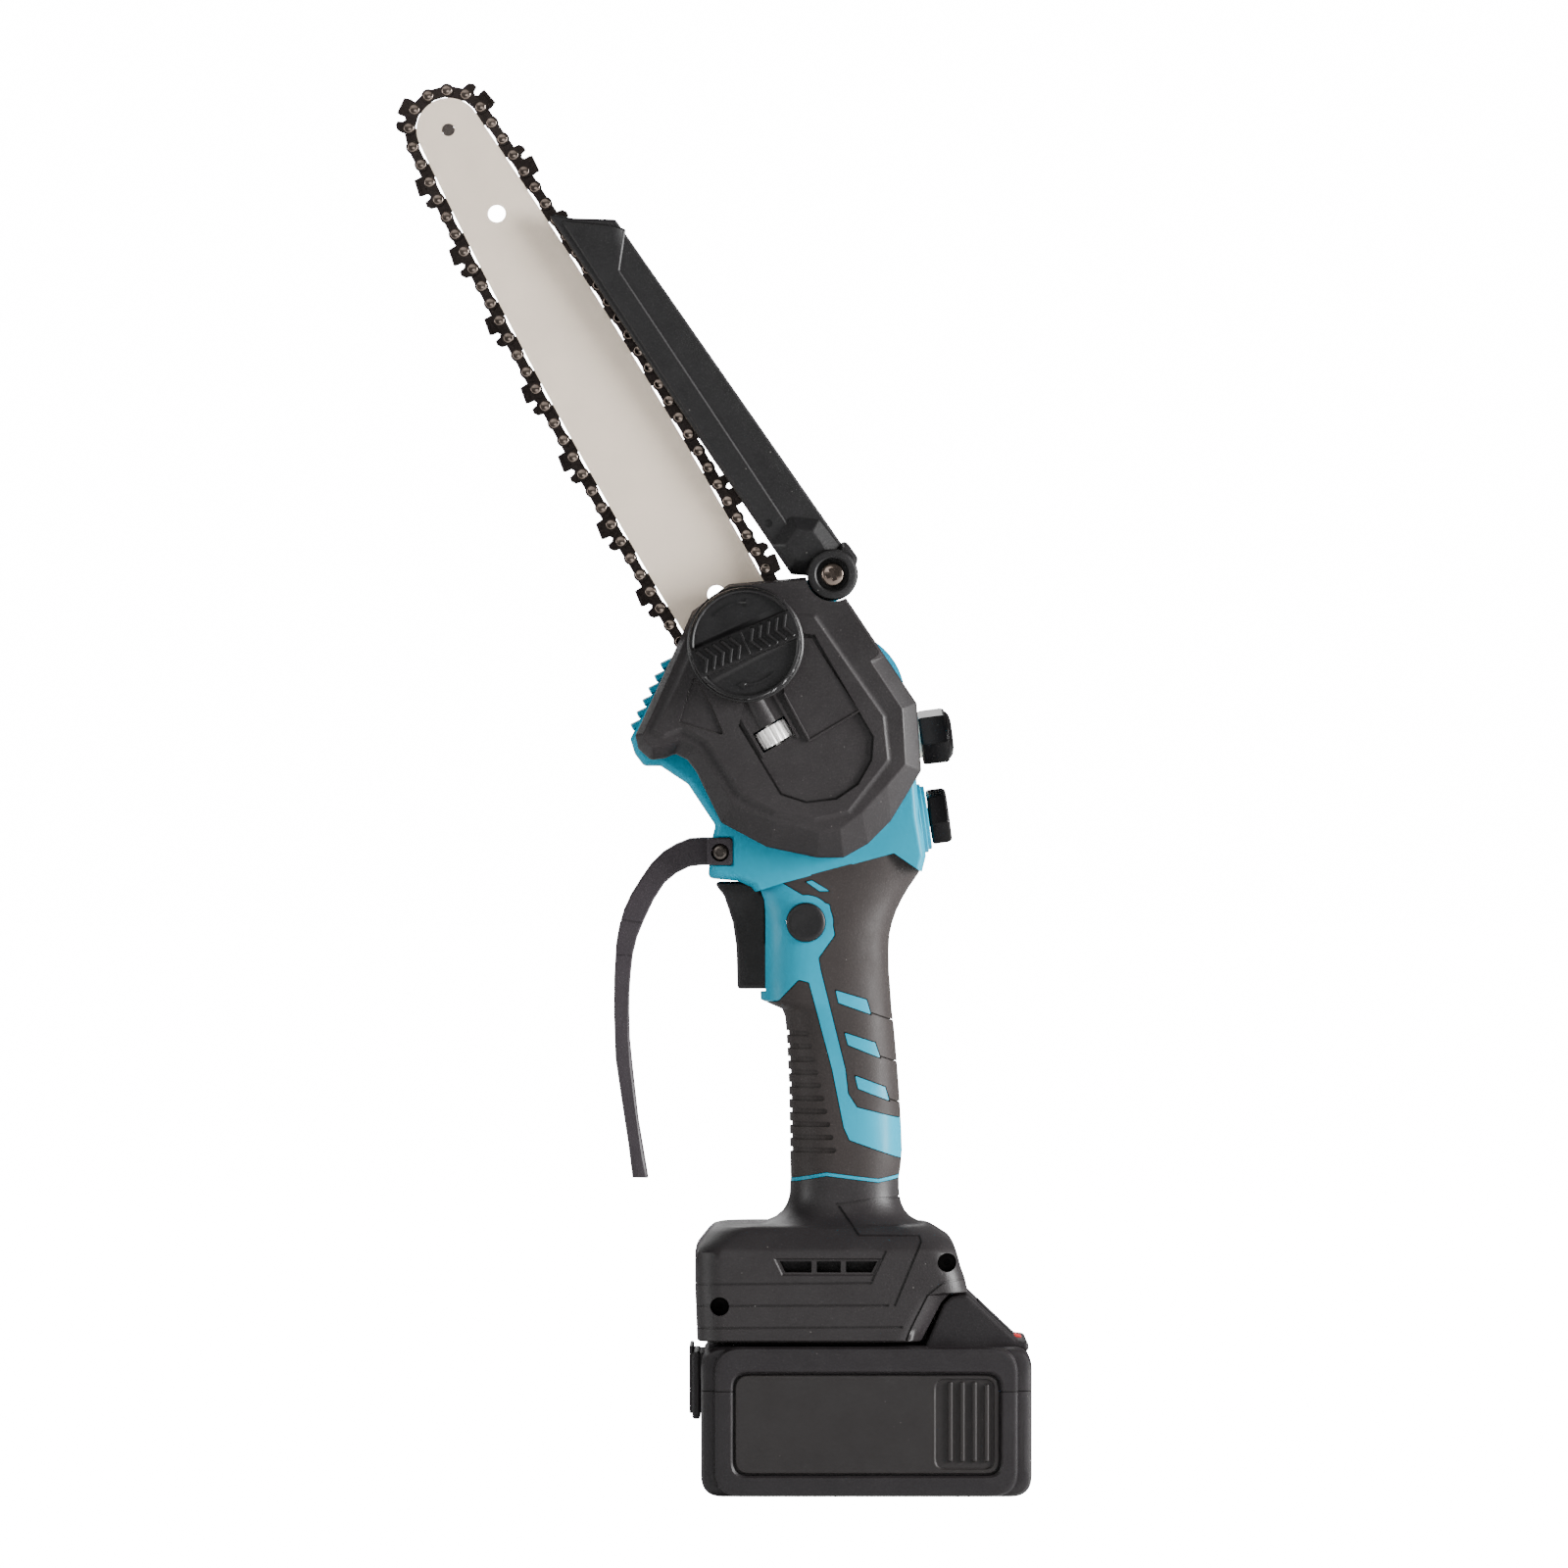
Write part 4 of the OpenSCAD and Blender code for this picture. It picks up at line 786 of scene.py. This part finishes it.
def motor_bulge():
    """Hollow can over the motor, closed at its far end."""
    outer = [(15, MOTOR_ROOM_R), (15, BULGE_R), (40.6, BULGE_R), (42.6, 21.3), (43.7, 20), (44, 18.2)]
    inner = [(44, 6), (41.5, 6), (41.5, 18.6), (39.6, MOTOR_ROOM_R)]
    return [
        revolve(at(MOTOR), AWAY, outer + inner, 72, loop=True),
        revolve(at(MOTOR), AWAY, [(41.2, 6.2), (43.4, 6.2), (43.9, 5)], 48),
    ]


def bulge_slots():
    """Air slots round the rim and across the end of the motor bulge."""
    slots = []
    section = box_outline(18, 25, -1.1, 1.1)
    for k in range(16):
        turn = Matrix.Rotation(math.radians(k * 22.5), 3, "Y")
        rings = [[turn @ Vector((x, y, z)) + Vector(at(MOTOR)) for x, z in section] for y in (27, 36)]
        slots.append(loft(rings))
    for k in range(8):
        line = turned_outline(ribbon([(8.2, 0), (16, 0)], 2.6), MOTOR, k * 45)
        slots.append(prism(rounded(line, 1.1, 3), 40, 46))
    return slots


def head_holes(side):
    """Room inside half of the head, and every hole through its wall."""
    cavity = [(0.6, 0), (-11.4, 0)] if side == NEAR else [(-0.6, 0), (15.4, 0)]
    holes = [
        slab(inset(HEAD, HEAD_WALL), cavity, 1),
        prism(HEAD_CUT, -32, 32),
        prism(disc(SPROCKET, 7), -30, -10.5),
        prism(disc(STUD, 4.1), -30, -10.4),
        prism(disc(PIVOT, 2.3), -32, 3.2),
        prism(box_outline(-52.7, -43.4, 205.6, 215.4), side * 31, side * 13.2),
        prism(disc(BOW_SCREW, SCREW_HOLE_R, 32), side * 31, side * 10),
    ]
    if side == FAR:
        holes += [prism(disc(place, SCREW_HOLE_R, 32), 14, 40) for place in SHELL_SCREWS]
        holes.append(prism(disc(MOTOR, MOTOR_ROOM_R, 72), 1.5, 33))
    return holes


def cyan_strip(side):
    """Parts of the grip that the cyan shell fills."""
    solid = to_object("strip", grip_half(side, 98, 210.5))
    band = [(x, z + BAND_HALF) for x, z in BAND] + [(x, z - BAND_HALF) for x, z in BAND[::-1]]
    area = [
        prism(rounded(CYAN_STRIP, 0.8), -30, 30),
        prism(disc(BUTTON, BUTTON_RING_R), -31, 31),
        prism(rounded(SMALL_DASH, 0.2, 2), -28, 28),
        prism(band, -29, 29),
    ]
    area += [prism(rounded(dash, 0.3, 2), -30, 30) for dash in DASHES]
    carve(solid, *area, operation="INTERSECT")
    carve(solid, *openings())
    return solid


def make_housing(side, name, replaces):
    solid = to_object(name, *head(side), *serration(side))
    carve(solid, *head_holes(side))
    if side == NEAR:
        merge(solid, tongue())
    merge(solid, cyan_strip(side))
    boss = to_object("boss", *rear_boss())
    carve(boss, prism(box_outline(-40, 60, 180, 260), side * 0.05, side * 40), operation="INTERSECT")
    merge(solid, boss)
    if side == FAR:
        bulge = to_object("bulge", *motor_bulge())
        carve(bulge, *bulge_slots())
        merge(solid, bulge)
    finish(solid, "housing", CYAN, replaces, 0.25, 40)


# ---------------------------------------------------------------- foot
# Height, front, back, half width and corner radius of the foot's level sections
FOOT_TIERS = [
    (50.5, -54.9, 17.7, 32.6, 9), (51, -55.3, 18.2, 33, 9), (54.9, -55.5, 20.3, 33, 9),
    (62.9, -55.8, 24.5, 33, 9), (65.7, -55.9, 27, 33, 9), (66.6, -55.9, 33, 33, 9), (67.4, -56, 33.1, 33, 9),
    (71, -56, 32.3, 33, 9), (75.1, -56, 30.8, 33, 9), (79.6, -56, 29.6, 33, 9), (81, -55.4, 29, 32.2, 9.4),
    (83.4, -53.6, 27.4, 30, 10), (86, -51.6, 23.6, 27.2, 11), (87.4, -50, 21.4, 25.6, 11.6),
    (88, -48, 19.6, 23.8, 12),
]
# Height, front, back and half width of the neck that flares into the foot
NECK_TIERS = [
    (86.4, -44, 22.6, 26.5), (87.6, -38, 20.4, 25), (88.5, -33.4, 17.6, 23), (90, -29.8, 14.9, 20.6),
    (92, -27.4, 13, 18.8), (94.5, -25.9, 11.8, 17.6), (97, -25.1, 11.2, 16.9), (99.5, -24.9, 11, 16.7),
    (103, -24.8, 11, 16.7), (106, -24.8, 11.2, 16.8),
]
FOOT_SCREWS = [(-47.9, 62.1), (26.3, 76.4)]
# Engraved lines of the foot's side
FOOT_LINES = [
    [(-70, 69.1), (2, 69.8)],
    [(-70, 62.2), (7.4, 62.5)],
    [(-70, 54.9), (12, 55.4)],
    [(-9.6, 95.2), (-2.4, 84.9), (17.2, 84.8), (17.8, 83.2), (9.2, 62.3)],
    [(12.8, 51), (14.6, 55.4), (19.9, 65.9), (25, 70), (36, 71.6)],
    [(6.4, 80.2), (1.8, 70.4)],
    [(-9.9, 94.6), (4, 96.6), (20, 96.9)],
]
VENTS = [
    [(-28.4, 76.9), (-17.9, 76.9), (-17.9, 73.2), (-26.6, 73.2)],
    [(-16.2, 76.9), (-8.4, 76.9), (-8.4, 73.2), (-16.2, 73.2)],
    [(-6.7, 76.9), (3.6, 76.9), (1.7, 73.2), (-6.7, 73.2)],
]
VENT_FIELD = [(-30.4, 77.9), (5.6, 77.9), (3, 72.1), (-27.6, 72.1)]


def half_box_section(z, front, back, wide, corner, side, inward=0.0):
    """Half of a rounded rectangle at a height."""
    corner = max(corner - inward, 0.5)
    front, back, wide = front + inward, back - inward, wide - inward
    ring = [(back, side * 0.06, z)]
    for centre, start in (((back - corner), 0), ((front + corner), 90)):
        for k in range(9):
            turn = math.radians(start + 90 * k / 8)
            depth = wide - corner + corner * math.sin(turn)
            ring.append((centre + corner * math.cos(turn), side * depth, z))
    ring.append((front, side * 0.06, z))
    return ring


def foot_block(side, inward=0.0):
    return loft([half_box_section(*row, side, inward) for row in FOOT_TIERS])


def foot_neck(side, inward=0.0):
    return loft([half_section(z, front, back, wide, side, inward) for z, front, back, wide in NECK_TIERS])


def rail_room():
    """Channel of the battery's rail."""
    return [
        prism(box_outline(-46.4, 60, 40, 56.4), -17.4, 17.4),
        prism(box_outline(-46.4, 60.5, 52.6, 56.8), -20.4, 20.4),
    ]


def side_holes(side):
    """Sunken field with the air slots, and the two screw holes."""
    holes = [slab(VENT_FIELD, [(side * 35, -1.6), (side * 33, 0), (side * 32.4, 0.5)], 0.3, 2)]
    holes += [prism(vent, side * 36, side * 25.5) for vent in VENTS]
    holes += [prism(disc(place, SCREW_HOLE_R, 32), side * 37, side * 24.6) for place in FOOT_SCREWS]
    return holes


def make_foot(side, name, replaces):
    engraving = [prism(ribbon(line, 0.75), -40, 40) for line in FOOT_LINES]
    solid = to_object(name, foot_block(side))
    neck = to_object("neck", foot_neck(side))
    carve(solid, *engraving)
    carve(neck, *engraving)
    merge(solid, neck)
    # Slightly smaller copies inside are the floor of the engraved lines
    absorb(solid, foot_block(side, 0.5), foot_neck(side, 0.5))
    carve(solid, *side_holes(side))
    carve(solid, *rail_room())
    carve(solid, prism(above_band(-BAND_HALF - 0.2), -29, 29))
    finish(solid, "housing", FOOT, replaces, 0.22, 38)


# ---------------------------------------------------------------- battery
SPLIT_Z = 34.6
CASE = box_outline(-54, 54, 0, 48.8)
CASE_FRAME = box_outline(-49.7, 49.4, 0.3, 48.9)
LABEL_FIELD = box_outline(-43.6, 43.9, 7.1, 40.6)
HUMP = [(19, 47), (19.2, 49.4), (24.8, 62.4), (27.4, 65.2), (33, 66), (49.4, 50.6), (53, 50.2), (53.4, 47)]
LATCH_POCKET = [(36.6, 50), (36.6, 70), (48.4, 70), (48.4, 43.5)]
CHARGE_WINDOW = [(48.6, 49.8), (51.2, 49.6), (51.2, 50.9), (48.8, 51.4)]


def on_both_sides(outline, levels, radius, steps):
    """The same slab on the near and the far side."""
    return [slab(outline, [(side * y, d) for y, d in levels], radius, steps) for side in (NEAR, FAR)]


def case_part(name, z0, z1):
    """Battery body between two heights, with the raised frame and sunken label field on both sides."""
    solid = to_object(name, slab(CASE, both_ends(34, 2.5), 7, 8))
    raised = [(31, 0), (35.6, 0), (36.6, 0.5), (37, 1.5)]
    sunken = [(38, -1.4), (37, -0.6), (36.2, 0), (34.4, 0)]
    frames = to_object("frames", *on_both_sides(CASE_FRAME, raised, 8.5, 8))
    carve(frames, *on_both_sides(LABEL_FIELD, sunken, 5, 6))
    merge(solid, frames)
    carve(solid, prism(box_outline(-80, 80, z0, z1), -60, 60), operation="INTERSECT")
    return solid


def rail():
    """Rail that slides into the foot."""
    return [
        prism(box_outline(-42, 20, 47, 55.4), -16.4, 16.4),
        prism(box_outline(-42, 20, 53.5, 55.8), -19.5, 19.5),
    ]


def front_plates():
    """Stepped plates at the front end."""
    return [
        slab(box_outline(-58, -56.6, 26, 48.2), both_ends(14, 0.5), 0.6, 3),
        slab(box_outline(-57, -54.3, 24.2, 46.4), both_ends(16, 0.8), 1, 3),
        slab(box_outline(-55, -51.5, 36.5, 46), both_ends(15.5, 0.8), 0.8, 3),
    ]


def make_battery():
    base = case_part("battery_base_skin", -5, SPLIT_Z - 0.12)
    finish(base, "battery", BATTERY, ["battery_base"], 0.3)
    top = case_part("battery_top_skin", SPLIT_Z + 0.12, 60)
    pocket = prism(LATCH_POCKET, -12.4, 12.4)
    hump = to_object("hump", slab(HUMP, both_ends(24, 1.6), 1.6, 5))
    carve(hump, pocket)
    merge(top, hump)
    absorb(top, *rail(), *front_plates())
    carve(top, pocket)
    finish(top, "battery", BATTERY, ["battery_top"], 0.3)
    make_label(NEAR, "label_near")
    make_label(FAR, "label_far")
    window = to_object("charge_window", slab(CHARGE_WINDOW, both_ends(5, 0.2), 0.2, 2))
    finish(window, "battery", RED, (), 0.1)


def make_label(side, name):
    """Inlaid panel with its ribbed end."""
    levels = [(side * 34.4, 0), (side * 35.9, 0), (side * 36.2, 0.3)]
    solid = to_object(name, slab(box_outline(-42.9, 43.2, 7.8, 39.9), levels, 4.6, 6))
    field = [(side * 38, -0.8), (side * 36.2, -0.2), (side * 35.5, 0)]
    carve(solid, slab(box_outline(22.4, 41.6, 9.4, 38.6), field, 3.4, 5))
    ribs = []
    for k in range(4):
        x = 27.3 + k * 3.95
        # The last rib is shorter, beside the rounded corner
        top = 37.8 - (0.8 if k == 3 else 0)
        rib = box_outline(x - 0.75, x + 0.75, 11.6, top)
        ribs.append(slab(rib, [(side * 35, 0), (side * 36, 0), (side * 36.4, 0.35)], 0.6, 4))
    absorb(solid, *ribs)
    finish(solid, "battery", LABEL, (), 0.15)


# ---------------------------------------------------------------- hand guard
BOW_OUTER = [
    (-50, 215.1), (-54, 215.1), (-58, 214.8), (-62.5, 213), (-66.5, 210.6), (-70.6, 206.6), (-74, 201.7),
    (-77.2, 196.6), (-79.6, 191.4), (-81.2, 185.8), (-82.2, 180), (-82.8, 169), (-82.9, 157.5),
    (-82.4, 142.5), (-80.5, 129.4), (-78.2, 114.4), (-76.8, 103.1),
]
BOW_INNER = [
    (-50, 206), (-54, 205.9), (-58, 205.4), (-62.4, 203.2), (-66.4, 199.8), (-70, 194.2), (-73.1, 187.6),
    (-75.4, 182), (-76.8, 176.3), (-77.5, 170), (-77.9, 164), (-78, 157.5), (-77.8, 149), (-76.8, 139),
    (-74.9, 122), (-73.2, 112), (-71.7, 103),
]


def bow():
    """Curved strap, whose rims are rounded across its width."""
    depths = [(-8, 1.0), (-7.6, 0.3), (-6.6, 0), (6.6, 0), (7.6, 0.3), (8, 1.0)]
    rings = []
    for outer, inner in zip(BOW_OUTER, BOW_INNER):
        out, inn = Vector(outer), Vector(inner)
        step = (inn - out).normalized()
        there = [(out + step * d, y) for y, d in depths]
        back = [(inn - step * d, y) for y, d in depths[::-1]]
        rings.append([(p.x, y, p.y) for p, y in there + back])
    return loft(rings)


def make_hand_guard():
    block = box_outline(-52.3, -43.8, 205.9, 215)
    solid = to_object("hand_guard_skin", bow(), slab(block, both_ends(14.6, 0.7), 1.2, 4))
    carve(
        solid,
        prism(disc(BOW_SCREW, 2.95, 32), -20, -11.4),
        prism(disc(BOW_SCREW, 1.8, 24), -12, 20),
    )
    marks = [ribbon([(-84, 188.6), (-72, 186.6)], 0.5), ribbon([(-84, 176.4), (-72, 176)], 0.4)]
    carve(solid, *[prism(mark, -9, -7.7) for mark in marks])
    finish(solid, "housing", BOW, ["hand_guard"], 0.25)


# ---------------------------------------------------------------- trigger, button, caps, tank
TRIGGER = [
    (-50.2, 200.4), (-46.6, 195.7), (-43.8, 187.2), (-42.6, 179), (-42.2, 165.2), (-28.1, 165.2),
    (-28.1, 178.5), (-32.6, 180.5), (-32.6, 195), (-35, 199), (-39, 200.5),
]
TANK_OUTLINE = [(-30, 210), (11, 210), (15.5, 216), (15.5, 256), (4, 256), (-16, 240), (-30, 238)]


def make_trigger():
    solid = to_object("trigger_skin", slab(TRIGGER, both_ends(9, 1.4), 1.2, 4))
    carve(solid, revolve((0, 0, 171.5), (1, 0, 0), [(-36, 3.6), (-20, 3.6)], 32))
    finish(solid, "trigger", BLACK_FINE, ["trigger"], 0.3)


def make_lock_button():
    near = [
        (-11, 3), (8, 3), (8, BUTTON_R), (17.3, BUTTON_R), (18, 6.2), (18.35, 5.4), (18.3, 4.6), (18.1, 0.3),
    ]
    far = [(8, 3), (11, 3), (11, BUTTON_R), (16.6, BUTTON_R), (17.1, 6), (17.2, 5), (17, 0.3)]
    near_half = revolve(at(BUTTON), TOWARDS, near, 56)
    solid = to_object("lock_button_skin", near_half, revolve(at(BUTTON), AWAY, far, 56))
    finish(solid, "lock_button", BLACK_FINE, ["lock_button"], 0.2)


def make_oil_cap():
    axis = tilted(OIL_CAP_TILT)
    hexagon = [(3.4, 8.8), (4.2, 9.3), (11.2, 9.4), (12.2, 9.0), (12.4, 8.6)]
    dome = [(12, 8), (12.8, 7.8), (13.7, 6.6), (14.2, 4.6), (14.3, 1)]
    cap = to_object(
        "oil_cap_skin",
        revolve(OIL_CAP, axis, hexagon, 6, turn=math.pi / 6),
        revolve(OIL_CAP, axis, dome, 48),
    )
    carve(cap, revolve(OIL_CAP, axis, [(2, 6.7), (8.4, 6.7)], 48))
    finish(cap, "oil_cap", CAP, ["oil_cap"], 0.5)


def make_oil_knob():
    axis = tilted(OIL_KNOB_TILT)
    hexagon = [(0.9, 8.8), (1.4, 9.4), (6.2, 9.4), (7.2, 8.9), (7.5, 8.2)]
    knob = to_object(
        "oil_knob_skin",
        revolve(OIL_KNOB, axis, hexagon, 6, turn=math.pi / 6),
        revolve(OIL_KNOB, axis, [(-8, 3.1), (1.2, 3.1)], 32),
    )
    finish(knob, "oil_knob", CAP, ["oil_knob"], 0.5)


def make_tank():
    levels = [(18.3, 0), (34.4, 0), (35.6, 0.7), (36, 1.8)]
    solid = to_object("oil_tank_skin", slab(TANK_OUTLINE, levels, 3, 5))
    carve(solid, prism(disc(MOTOR, BULGE_R + 0.4, 72), 10, 50))
    neck = [(-3, 6.6), (6.6, 6.6), (7, 6.2), (7, 5), (-3, 5)]
    absorb(solid, revolve(OIL_CAP, tilted(OIL_CAP_TILT), neck, 48, loop=True))
    finish(solid, "housing", TANK, ["oil_tank"], 0.4)


# ---------------------------------------------------------------- chain rivets
def part_centres(node):
    """Middle, in X and Z, of each loose part of a node."""
    mesh = bmesh.new()
    mesh.from_mesh(node.data)
    bmesh.ops.remove_doubles(mesh, verts=mesh.verts, dist=0.001 * MM)
    waiting = set(mesh.verts)
    centres = []
    while waiting:
        front = [waiting.pop()]
        part = list(front)
        while front:
            vert = front.pop()
            near = {edge.other_vert(vert) for edge in vert.link_edges} & waiting
            waiting -= near
            front += near
            part += near
        across = [v.co.x / MM for v in part]
        up = [v.co.z / MM for v in part]
        centres.append(((min(across) + max(across)) / 2, (min(up) + max(up)) / 2))
    mesh.free()
    return sorted(centres)


def make_rivets(group, body):
    """Peened rivets with a raised rim round a dished middle, on both sides of the chain."""
    head_half = [(1.6, 1.3), (1.6, 1.68), (1.82, 1.68), (2.0, 1.5), (2.0, 1.25), (1.78, 0.95), (1.74, 0.1)]
    profile = [(-CHAIN_Y - h, r) for h, r in head_half[::-1]] + [(-CHAIN_Y + h, r) for h, r in head_half]
    places = part_centres(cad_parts[group + "_rivets"])
    solid = to_object(group + "_rivets_skin", *[revolve(at(place), TOWARDS, profile, 24) for place in places])
    finish(solid, body, RIVET, [group + "_rivets"], 0, 50)


# ---------------------------------------------------------------- CAD nodes that stay
def paint(name, material, edge=0.0):
    """Finish for a CAD node, with its edges softened if asked."""
    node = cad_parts[name]
    node.data.materials.clear()
    node.data.materials.append(material)
    if edge:
        weld = node.modifiers.new("weld", "WELD")
        weld.merge_threshold = 0.002 * MM
        round_edges(node, edge, 1, 40)


def paint_cad_nodes():
    finishes = {
        BAR: ["guide_bar"],
        ZINC: ["tension_wheel"],
        BRIGHT: ["tension_screw", "tension_pin", "clamp_stud", "shaft_bearings", "output_shaft",
                 "drive_gear", "drive_sprocket", "motor_pinion", "nose_roller", "chip_guard_spring",
                 "trigger_spring", "lock_spring"],
        DARK: ["nose_rivet", "sprocket_clip", "housing_screws"],
        # The foot screws take the screw steel painted dark as shade
        SHADED_SCREW: ["foot_screws"],
        MOTOR_STEEL: ["motor_stator", "motor_rotor"],
        CAST: ["gear_frame"],
        BRASS: ["knob_nut"],
        CELL: ["battery_cells"],
        BOARD: ["controller_board"],
        WIRE: ["wiring"],
        BLACK_FINE: ["motor_fan", "trigger_switch", "terminal_block", "battery_latch"],
    }
    for group in CHAIN_GROUPS:
        finishes.setdefault(CHAIN, []).extend([group + "_straps", group + "_drive_links"])
    softened = {"guide_bar": 0.25, "tension_wheel": 0.15}
    for material, names in finishes.items():
        for name in names:
            edge = softened.get(name, 0.14 if name.endswith("_straps") else 0)
            paint(name, material, edge)


# ---------------------------------------------------------------- studio
# Strength at which the floor and the background look white to the camera
PAPER_GLOW = 16.0
# Strength of the even light that reaches the saw from all round
AMBIENT = 0.22


def area_light(name, place, target, size, power):
    data = bpy.data.lights.new(name, "AREA")
    data.shape = "RECTANGLE"
    data.size, data.size_y = size
    data.energy = power
    light = bpy.data.objects.new(name, data)
    light.location = place
    light.rotation_euler = (Vector(target) - Vector(place)).to_track_quat("-Z", "Y").to_euler()
    bpy.context.scene.collection.objects.link(light)


def make_floor():
    """Pale paper floor that glows for the camera only."""
    mesh = bmesh.new()
    bmesh.ops.create_grid(mesh, x_segments=2, y_segments=2, size=12)
    data = bpy.data.meshes.new("floor")
    mesh.to_mesh(data)
    mesh.free()
    floor = bpy.data.objects.new("floor", data)
    bpy.context.scene.collection.objects.link(floor)
    n = Nodes("floor_paper")
    tone = n.ramp(n.noise(400, 2), 0.3, 0.7, 0, 1)
    n.link(n.mix(tone, (0.9, 0.9, 0.9, 1), (0.93, 0.93, 0.93, 1)), n.shader.inputs["Base Color"])
    n.shader.inputs["Roughness"].default_value = 0.9
    n.shader.inputs["Emission Color"].default_value = (1, 1, 1, 1)
    seen = n.tree.nodes.new("ShaderNodeLightPath").outputs["Is Camera Ray"]
    n.link(n.ramp(seen, 0, 1, 0, PAPER_GLOW), n.shader.inputs["Emission Strength"])
    data.materials.append(n.material)


def make_world():
    """Soft even light, white to the camera."""
    world = bpy.data.worlds.new("studio")
    bpy.context.scene.world = world
    world.use_nodes = True
    tree = world.node_tree
    background = tree.nodes["Background"]
    background.inputs["Color"].default_value = (1, 1, 1, 1)
    path = tree.nodes.new("ShaderNodeLightPath")
    strength = tree.nodes.new("ShaderNodeMapRange")
    strength.inputs["To Min"].default_value = AMBIENT
    strength.inputs["To Max"].default_value = PAPER_GLOW
    tree.links.new(path.outputs["Is Camera Ray"], strength.inputs["Value"])
    tree.links.new(strength.outputs["Result"], background.inputs["Strength"])


def make_lights():
    area_light("key_right", (1.35, -0.5, 0.45), (-0.03, 0, 0.22), (0.36, 0.8), 85)
    area_light("fill_front", (-0.7, -1.8, 1.1), (-0.03, 0, 0.2), (1.2, 0.9), 9)
    area_light("back_fill", (-0.5, 1.7, 1.1), (-0.03, 0, 0.2), (1.2, 0.9), 14)
    area_light("rim_left", (-1.3, -0.5, 0.15), (-0.03, 0, 0.25), (0.5, 1.1), 17)


def make_camera():
    data = bpy.data.cameras.new("camera")
    away = 3.0
    # Width of the view at the depth of the sprocket cover's face
    field = 0.512
    cover_depth = 0.03
    data.sensor_width = 36
    data.lens = data.sensor_width * (away - cover_depth) / field
    camera = bpy.data.objects.new("camera", data)
    camera.location = (-0.0269, -away, 0.2326)
    camera.rotation_euler = (math.radians(90), 0, 0)
    bpy.context.scene.collection.objects.link(camera)
    bpy.context.scene.camera = camera


make_cover()
make_knob()
make_chip_guard()
make_screw("chip_guard_screw_skin", PIVOT, -32.5, 3.85, 22, SCREW, ["chip_guard_screw"], "cross")
make_housing(NEAR, "housing_near_skin", ["housing_near"])
make_housing(FAR, "housing_far_skin", ["housing_far"])
make_rubber(NEAR, "grip_near_skin", ["grip_near"])
make_rubber(FAR, "grip_far_skin", ["grip_far"])
make_foot(NEAR, "foot_near_skin", ["foot_near"])
make_foot(FAR, "foot_far_skin", ["foot_far"])
make_battery()
make_hand_guard()
make_screw("hand_guard_screw_skin", BOW_SCREW, -14.2, 2.7, 10, DARK, ["hand_guard_screw"], "hexagon")
make_trigger()
make_lock_button()
make_oil_cap()
make_oil_knob()
make_tank()
for chain_group, chain_body in CHAIN_GROUPS.items():
    make_rivets(chain_group, chain_body)
paint_cad_nodes()
make_floor()
make_world()
make_lights()
make_camera()
